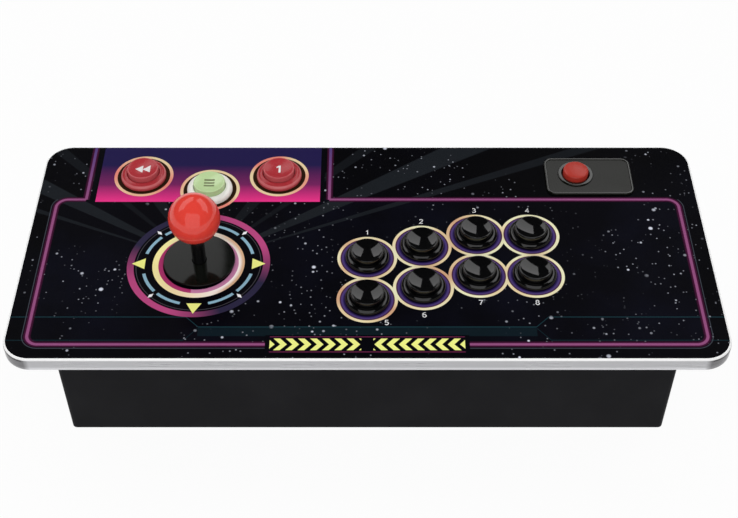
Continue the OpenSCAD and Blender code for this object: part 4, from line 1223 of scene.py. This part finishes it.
class CONSOLE_OT_deck(Operator):
    """Finish the board, the printed sheet and the numbers on it"""

    bl_idname = "console.deck"
    bl_label = "Deck"

    def execute(self, context):
        ink = context.scene.console_print
        paint_nodes(printed_sheet(ink), "deck_overlay")
        paint_nodes(fibreboard("pressed_board", context.scene.console_finish.board), "deck_board")
        self.numbers(ink)
        return {"FINISHED"}

    def numbers(self, ink):
        """A number behind each rear play button and in front of each front one."""
        size = ink.digit_h
        half = Vector((DIGIT_W_SHARE, 1, 0)) / 2 * size
        shapes = []
        for index, (node, path) in enumerate(zip(PLAY_BUTTONS, digit_paths())):
            side = 1 if index < len(PLAY_BUTTONS) / 2 else -1
            x, y = FIFTH_NUMBER if index == 4 else (0, side * NUMBER_GAP)
            place = Span(node).centre + Vector((x, y, INK_T)) * MM - half
            points, faces = ribbon(path, STROKE_SHARE)
            shapes.append(([place + point * size for point in points], faces))
        paint = flat_ink("number_ink", ink.numbers)
        piece("numbers", joined(*shapes), paint, "root")


class CONSOLE_OT_edge(Operator):
    """Run the bright moulding round the deck's edge"""

    bl_idname = "console.edge"
    bl_label = "Edge moulding"

    def execute(self, context):
        paint = bright_moulding("bright_moulding", context.scene.console_finish.moulding)
        width, depth, tall = (EDGE_HIGH - EDGE_LOW) / MM
        reach = TRIM_WALL - TRIM_ROUND
        low = (tall - SHEET_T - TONGUE_T) / 2
        high = low + TONGUE_T
        outline = [(0, 0)]
        for height, start in ((TRIM_DROP, -90), (tall - TRIM_DROP, 0)):
            outline += arc(reach, height, TRIM_ROUND, TRIM_DROP, start, start + 90, TRIM_STEPS)
        outline += [(0, tall), (0, high), (-TONGUE, high), (-TONGUE, low), (0, low)]
        sides = (width - 2 * TRIM_WALL) * MM, (depth - 2 * TRIM_WALL) * MM
        corner = (CORNER_R - TRIM_WALL) * MM
        made = swept("edge_moulding", *sides, corner, outline, EDGE_LOW.z, paint)
        dress(made, "root", ["edge_trim"])
        return {"FINISHED"}


class CONSOLE_OT_base(Operator):
    """Finish the base, its bottom panel, its feet and its rear sockets"""

    bl_idname = "console.base"
    bl_label = "Base"

    def execute(self, context):
        finish = context.scene.console_finish
        base = satin_plastic("base_plastic", finish.base, 0.5, level=0.03)
        port = satin_plastic("port_plastic", finish.port, 0.55)
        socket = plated_metal("socket_metal", finish.socket, 0.3)
        paint_nodes(base, "base_shell", "bottom_panel")
        paint_nodes(port, "port_panel", "dc_inlet")
        paint_nodes(socket, "video_socket", "usb_sockets")
        paint_nodes(soft_rubber("foot_rubber", finish.foot), "rubber_feet")
        return {"FINISHED"}


class CONSOLE_OT_inside(Operator):
    """Finish the pieces inside the base"""

    bl_idname = "console.inside"
    bl_label = "Inside"

    def execute(self, context):
        finish = context.scene.console_finish
        housing = satin_plastic("housing_plastic", finish.housing, 0.5)
        natural = satin_plastic("natural_plastic", finish.natural, 0.4)
        zinc = plated_metal("zinc_plate", finish.zinc, 0.35)
        clip = plated_metal("spring_wire", finish.spring, 0.25)
        board = solder_mask("solder_mask", finish.mask)
        switch = satin_plastic("switch_plastic", finish.switch, 0.4)
        screws = plated_metal("screw_plate", finish.screw, 0.4)
        paint_nodes(housing, "joystick_housing", "gimbal_ring", "button_nuts")
        paint_nodes(natural, "pivot_block", "actuator", "restrictor_gate")
        paint_nodes(zinc, "joystick_plate", "spring_seat")
        paint_nodes(clip, "retaining_clip")
        paint_nodes(board, "main_board", "joystick_board")
        paint_nodes(switch, "joystick_switches", "button_switches", "power_switch")
        paint_nodes(screws, "base_screws", "joystick_screws", "port_screws", "board_screws")
        return {"FINISHED"}


class CONSOLE_OT_joystick(Operator):
    """Turn the ball top and the two washers, and finish the shaft"""

    bl_idname = "console.joystick"
    bl_label = "Joystick"

    def execute(self, context):
        finish = context.scene.console_finish
        red = gloss_plastic("ball_gloss", finish.ball, 0.06, level=0.4)
        ball = ball_shape(Span("ball_top"), finish.turns)
        piece("ball", ball, red, "stick", ["ball_top"])
        paint_nodes(gloss_plastic("shaft_gloss", finish.shaft, 0.16), "stick_shaft")
        dark = gloss_plastic("washer_gloss", finish.washer, 0.1, level=0.18)
        for name, hole_r, fillet in (
            ("dust", DUST_HOLE_R, DUST_FILLET),
            ("lower", LOWER_HOLE_R, LOWER_FILLET),
        ):
            node = f"{name}_washer"
            disc = disc_shape(Span(node), hole_r, fillet, finish.turns)
            piece(f"{name}_disc", disc, dark, node, [node])
        return {"FINISHED"}


class CONSOLE_OT_play_buttons(Operator):
    """Set the eight play buttons' bezels, and turn a plunger in each"""

    bl_idname = "console.play_buttons"
    bl_label = "Play buttons"

    def execute(self, context):
        finish = context.scene.console_finish
        black = gloss_plastic("button_black", finish.button, 0.05)
        bezel = bezel_shape(Span(PLAY_BUTTONS[0]), finish.turns)
        places = [Span(node).centre for node in PLAY_BUTTONS]
        made = repeated("play_bezels", bezel, places, black)
        dress(made, "root", PLAY_BUTTONS)
        for node in PLAY_BUTTONS:
            plunger = node.replace("bezel", "plunger")
            shape = plunger_shape(Span(plunger), finish)
            piece(node.replace("bezel", "button"), shape, black, plunger, [plunger])
        return {"FINISHED"}


class CONSOLE_OT_return_springs(Operator):
    """Wind a return spring in each button"""

    bl_idname = "console.return_springs"
    bl_label = "Return springs"

    def execute(self, context):
        low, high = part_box("button_springs")
        rise = high.z - low.z
        names = [node.replace("bezel", "spring") for node in BUTTONS]
        spots = [(middle(node).x, middle(node).y, low.z) for node in BUTTONS]
        colour = context.scene.console_finish.spring
        steel = plated_metal("return_spring_wire", colour, 0.25)
        made = coils(names, spots, COIL_R * MM, COIL_WIRE_R * MM, COIL_TURNS, rise, steel)
        for spring, node, spot in zip(made, BUTTONS, spots):
            dress(spring, "root", ["button_springs"])
            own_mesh(spring)
        return {"FINISHED"}


class CONSOLE_OT_centring_spring(Operator):
    """Wind the joystick's spring in two halves"""

    bl_idname = "console.centring_spring"
    bl_label = "Centring spring"

    def execute(self, context):
        low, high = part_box("centring_spring")
        spot = middle("centring_spring")
        wire = CENTRING_WIRE_R * MM
        rise = (high.z - low.z) / 2 - wire
        feet = [Vector((spot.x, spot.y, low.z + rise * half)) for half in (0, 1)]
        steel = plated_metal("centring_spring_wire", context.scene.console_finish.spring, 0.25)
        names = ["centring_coil_lower", "centring_coil_upper"]
        reach, turns = CENTRING_R * MM, CENTRING_TURNS / 2
        made = coils(names, feet, reach, wire, turns, rise + 2 * wire, steel)
        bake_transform(made[0])
        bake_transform(made[1])
        for coil in made:
            coil.data.shade_smooth()
            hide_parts("centring_spring")
        return {"FINISHED"}


class CONSOLE_OT_switch_leaves(Operator):
    """Bend the microswitches' leaves"""

    bl_idname = "console.switch_leaves"
    bl_label = "Switch leaves"

    def execute(self, context):
        colour = context.scene.console_finish.leaf
        steel = plated_metal("leaf_steel", colour, 0.3, (1, 0.2, 1))
        self.button_leaves(steel)
        self.stick_leaves(steel)
        return {"FINISHED"}

    def button_leaves(self, steel):
        """A leaf below each plunger."""
        rise = PRESS + LEAF_T
        for node in BUTTONS:
            plunger = node.replace("bezel", "plunger")
            span = Span(plunger)
            top = span.centre + Vector((0, 0, span.foot - LEAF_GAP)) * MM
            shape = leaf_shape(LEAF_FRONT, LEAF_BACK, rise, Matrix.Translation(top))
            name = node.replace("bezel", "leaf")
            made = piece(name, shape, steel, "root", ["switch_leaves"])
            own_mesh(made)

    def stick_leaves(self, steel):
        """Four leaves on edge round the actuator."""
        spot = middle("actuator")
        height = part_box("switch_leaves")[0].z + LEAF_W / 2 * MM
        reach = Span("actuator").radius + STICK_LEAF_GAP
        upright = Matrix(((0, 0, -1, 0), (0, 1, 0, 0), (1, 0, 0, 0), (0, 0, 0, 1)))
        half = STICK_LEAF_LEN / 2
        for quarter, (side, joint) in enumerate(STICK_SIDES):
            turn = Matrix.Rotation(quarter * math.pi / 2, 4, "Z")
            turn = Matrix.Translation((spot.x, spot.y, height)) @ turn
            place = turn @ Matrix.Translation((reach * MM, 0, 0)) @ upright
            shape = leaf_shape(-half, half, STICK_LEAF_RISE, place)
            name = f"stick_leaf_{side}"
            made = piece(name, shape, steel, "root", ["switch_leaves"])
            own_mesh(made)


class CONSOLE_OT_menu_buttons(Operator):
    """Set the three menu buttons and the marks on them"""

    bl_idname = "console.menu_buttons"
    bl_label = "Menu buttons"

    def execute(self, context):
        finish = context.scene.console_finish
        highlight_bands = []
        for node, band in (("rewind_plunger", PLUNGER_HIGHLIGHT_BAND), ("rewind_bezel", BEZEL_HIGHLIGHT_BAND)):
            inner, outer, share = band
            edge = Span(node).radius
            highlight_bands.append((edge + inner, edge + outer, share))
        ends = ["rewind_bezel", "start_bezel"]
        # Paler bands at the rims of the red plungers and bezels are painted highlights.
        red = highlighted_plastic("button_red", finish.menu_red, ends, highlight_bands, 0.2, 0.35)
        white = gloss_plastic("button_white", finish.menu_white, 0.1)
        green = gloss_plastic("button_green", finish.menu_green, 0.14)
        shape = bezel_shape(Span(ends[0]), finish.turns)
        for name, nodes, paint, slot in (
            ("red_bezels", ends, red, "menu_red"),
            ("white_bezel", ["home_bezel"], white, "menu_white"),
        ):
            made = repeated(name, shape, [Span(node).centre for node in nodes], paint)
            dress(made, "root", nodes)
        light = flat_ink("white_mark", finish.light_mark)
        dark = flat_ink("green_mark", finish.dark_mark)
        tall = context.scene.console_print.mark_h / MM
        buttons = [
            ("rewind", red, "menu_red", light, self.arrowheads(tall)),
            ("home", green, "menu_green", dark, self.bars(tall)),
            ("start", red, "menu_red", light, self.number(tall)),
        ]
        for name, paint, slot, _, _ in buttons:
            node = f"{name}_plunger"
            shape = plunger_shape(Span(node), finish)
            piece(f"{name}_button", shape, paint, node, [node])
        for name, _, slot, ink, quads in buttons:
            node = f"{name}_plunger"
            piece(f"{name}_mark", self.mark(Span(node), quads, finish), ink, node)
        return {"FINISHED"}

    def arrowheads(self, tall):
        """Two arrowheads that point to the left."""
        half = tall / 2
        tip = half * ARROW_TIP_SHARE
        return [
            [(x - ARROW_LEN, -tip), (x, -half), (x, half), (x - ARROW_LEN, tip)]
            for x in (0, ARROW_LEN)
        ]

    def bars(self, tall):
        """Three bars, one in front of the other."""
        half, thick = tall / 2, BAR_T / 2
        return [
            [(-half, y - thick), (half, y - thick), (half, y + thick), (-half, y + thick)]
            for y in (-BAR_STEP, 0, BAR_STEP)
        ]

    def number(self, tall):
        """The stem and the flag of the number 1."""
        half = tall / 2
        high, low, root = (half - drop for drop in ONE_DROPS)
        return [
            [(ONE_LEFT, -half), (ONE_RIGHT, -half), (ONE_RIGHT, half), (ONE_LEFT, half)],
            [(ONE_FLAG, low), (ONE_LEFT, root), (ONE_LEFT, half), (ONE_FLAG, high)],
        ]

    def mark(self, span, quads, finish):
        """Some four-cornered sheets that lie in a plunger's hollow."""
        surface = dish_height(span, finish.dish / MM)
        sheets = [patch(quad, lambda radius: surface(radius) + INK_T) for quad in quads]
        points, faces = joined(*sheets)
        return [span.centre + point for point in points], faces


class CONSOLE_OT_power_button(Operator):
    """Shape the power button, its collar and the plate round it"""

    bl_idname = "console.power_button"
    bl_label = "Power button"

    def execute(self, context):
        finish = context.scene.console_finish
        collar, cap = Span("power_collar"), Span("power_cap")
        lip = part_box("power_plate")[1].z / MM - PLATE_LIP_H / 2
        plate = gloss_plastic("plate_gloss", finish.plate, 0.14, level=0.18, lip=lip)
        grey = gloss_plastic("collar_gloss", finish.plate, 0.14, level=0.7)
        red = gloss_plastic("power_red", finish.power, 0.3, level=0.3)
        shape = plate_shape("power_plate", collar.centre, COLLAR_BARREL_R + COLLAR_GAP)
        piece("plate", shape, plate, "root", ["power_plate"])
        shape = collar_shape(collar, cap.radius + COLLAR_GAP, finish.turns)
        piece("collar", shape, grey, "root", ["power_collar"])
        shape = cap_shape(cap, finish.turns)
        piece("cap", shape, red, "power_cap", ["power_cap"])
        return {"FINISHED"}


class CONSOLE_OT_stage(Operator):
    """Set the floor, the lamps, the room and the camera"""

    bl_idname = "console.stage"
    bl_label = "Stage"

    def execute(self, context):
        stage = context.scene.console_stage
        self.floor(stage)
        self.room(context.scene, stage)
        self.softboxes(stage)
        self.camera(context.scene, stage)
        context.scene.view_settings.view_transform = "Standard"
        return {"FINISHED"}

    def floor(self, stage):
        """A pale floor that keeps the object's shadow, and shows nearly white."""
        half, low = stage.floor, -stage.floor_gap
        corners = [(-half, -half, low), (half, -half, low), (half, half, low), (-half, half, low)]
        floor = placed("floor", mesh_of("floor", corners, [], [[0, 1, 2, 3]]))
        finish = Finish("pale_floor")
        finish.set(Base_Color=(0.86, 0.86, 0.86), Roughness=0.9)
        path = finish.add("ShaderNodeLightPath").outputs
        glow = finish.add("ShaderNodeEmission", Color=(1.0, 1.0, 1.0), Strength=1.0)
        seen = Value(finish.tree, path["Is Camera Ray"])
        for ray in ("Is Glossy Ray", "Is Transmission Ray"):
            seen = seen.most(path[ray])
        blend = finish.add("ShaderNodeMixShader", Fac=seen * 0.95)
        output = next(n for n in finish.tree.nodes if n.type == "OUTPUT_MATERIAL")
        for node, socket in (
            (finish.shader, blend.inputs[1]),
            (glow, blend.inputs[2]),
            (blend, output.inputs["Surface"]),
        ):
            finish.tree.links.new(node.outputs[0], socket)
        floor.data.materials.append(finish.material)

    def room(self, scene, stage):
        """Even light from all round. Camera rays see white, and gloss sees it near the horizon."""
        world = scene.world or bpy.data.worlds.new("room")
        scene.world = world
        world.use_nodes = True
        tree = world.node_tree
        back = next(n for n in tree.nodes if n.type == "BACKGROUND")
        path = tree.nodes.new("ShaderNodeLightPath").outputs
        seen = Value(tree, path["Is Camera Ray"])
        shiny = Value(tree, path["Is Glossy Ray"]).most(path["Is Transmission Ray"])
        ray = tree.nodes.new("ShaderNodeTexCoord").outputs["Generated"]
        parts = tree.nodes.new("ShaderNodeSeparateXYZ")
        tree.links.new(ray, parts.inputs["Vector"])
        low = Value(tree, parts.outputs["Z"]).under(stage.horizon, 0.05)
        mirrored = low * (1 - stage.ceiling) + stage.ceiling
        lit = shiny * mirrored + (1 - shiny) * stage.room
        back.inputs["Color"].default_value = (1, 1, 1, 1)
        feed(tree, seen + (1 - seen) * lit, back.inputs["Strength"])

    def softboxes(self, stage):
        """Two large softboxes behind, left and right, and a square one in front."""
        for name, place, size, share, aimed in SOFTBOXES:
            lamp = bpy.data.lights.new(name, "AREA")
            lamp.shape = "RECTANGLE"
            lamp.size, lamp.size_y = size
            lamp.energy = stage.shine * share * math.pi * size[0] * size[1]
            made = placed(name, lamp)
            made.location = place
            aim = Vector((0, 0, aimed)) - Vector(place)
            made.rotation_euler = aim.to_track_quat("-Z", "Y").to_euler()
            made.visible_camera = False

    def camera(self, scene, stage):
        lens = bpy.data.cameras.new("view")
        lens.lens = stage.lens
        lens.sensor_width = 36
        made = placed("view", lens)
        made.location = (stage.aside, -stage.reach, stage.rise)
        made.rotation_euler = (math.pi / 2 - stage.pitch, 0, 0)
        scene.camera = made


PIECE_OPERATORS = [
    CONSOLE_OT_deck,
    CONSOLE_OT_edge,
    CONSOLE_OT_base,
    CONSOLE_OT_inside,
    CONSOLE_OT_joystick,
    CONSOLE_OT_play_buttons,
    CONSOLE_OT_menu_buttons,
    CONSOLE_OT_return_springs,
    CONSOLE_OT_centring_spring,
    CONSOLE_OT_switch_leaves,
    CONSOLE_OT_power_button,
]
OPERATORS = [*PIECE_OPERATORS, CONSOLE_OT_stage]
SETTINGS = {
    "console_print": ConsolePrint,
    "console_finish": ConsoleFinish,
    "console_stage": ConsoleStage,
}


class CONSOLE_PT_sidebar(Panel):
    """Lists what builds the console"""

    bl_idname = "CONSOLE_PT_sidebar"
    bl_label = "Console"
    bl_space_type = "VIEW_3D"
    bl_region_type = "UI"
    bl_category = "Console"

    def draw(self, context):
        for operator in OPERATORS:
            self.layout.operator(operator.bl_idname)
        for name, group in SETTINGS.items():
            column = self.layout.column(align=True)
            for key in group.__annotations__:
                column.prop(getattr(context.scene, name), key)


def register():
    for group in (*SETTINGS.values(), *OPERATORS, CONSOLE_PT_sidebar):
        bpy.utils.register_class(group)
    for name, group in SETTINGS.items():
        setattr(bpy.types.Scene, name, PointerProperty(type=group))


def unregister():
    for name in SETTINGS:
        delattr(bpy.types.Scene, name)
    for group in (CONSOLE_PT_sidebar, *reversed(OPERATORS), *reversed(SETTINGS.values())):
        bpy.utils.unregister_class(group)


def main():
    register()
    for operator in OPERATORS:
        section, name = operator.bl_idname.split(".")
        getattr(getattr(bpy.ops, section), name)()


if __name__ == "__main__":
    main()
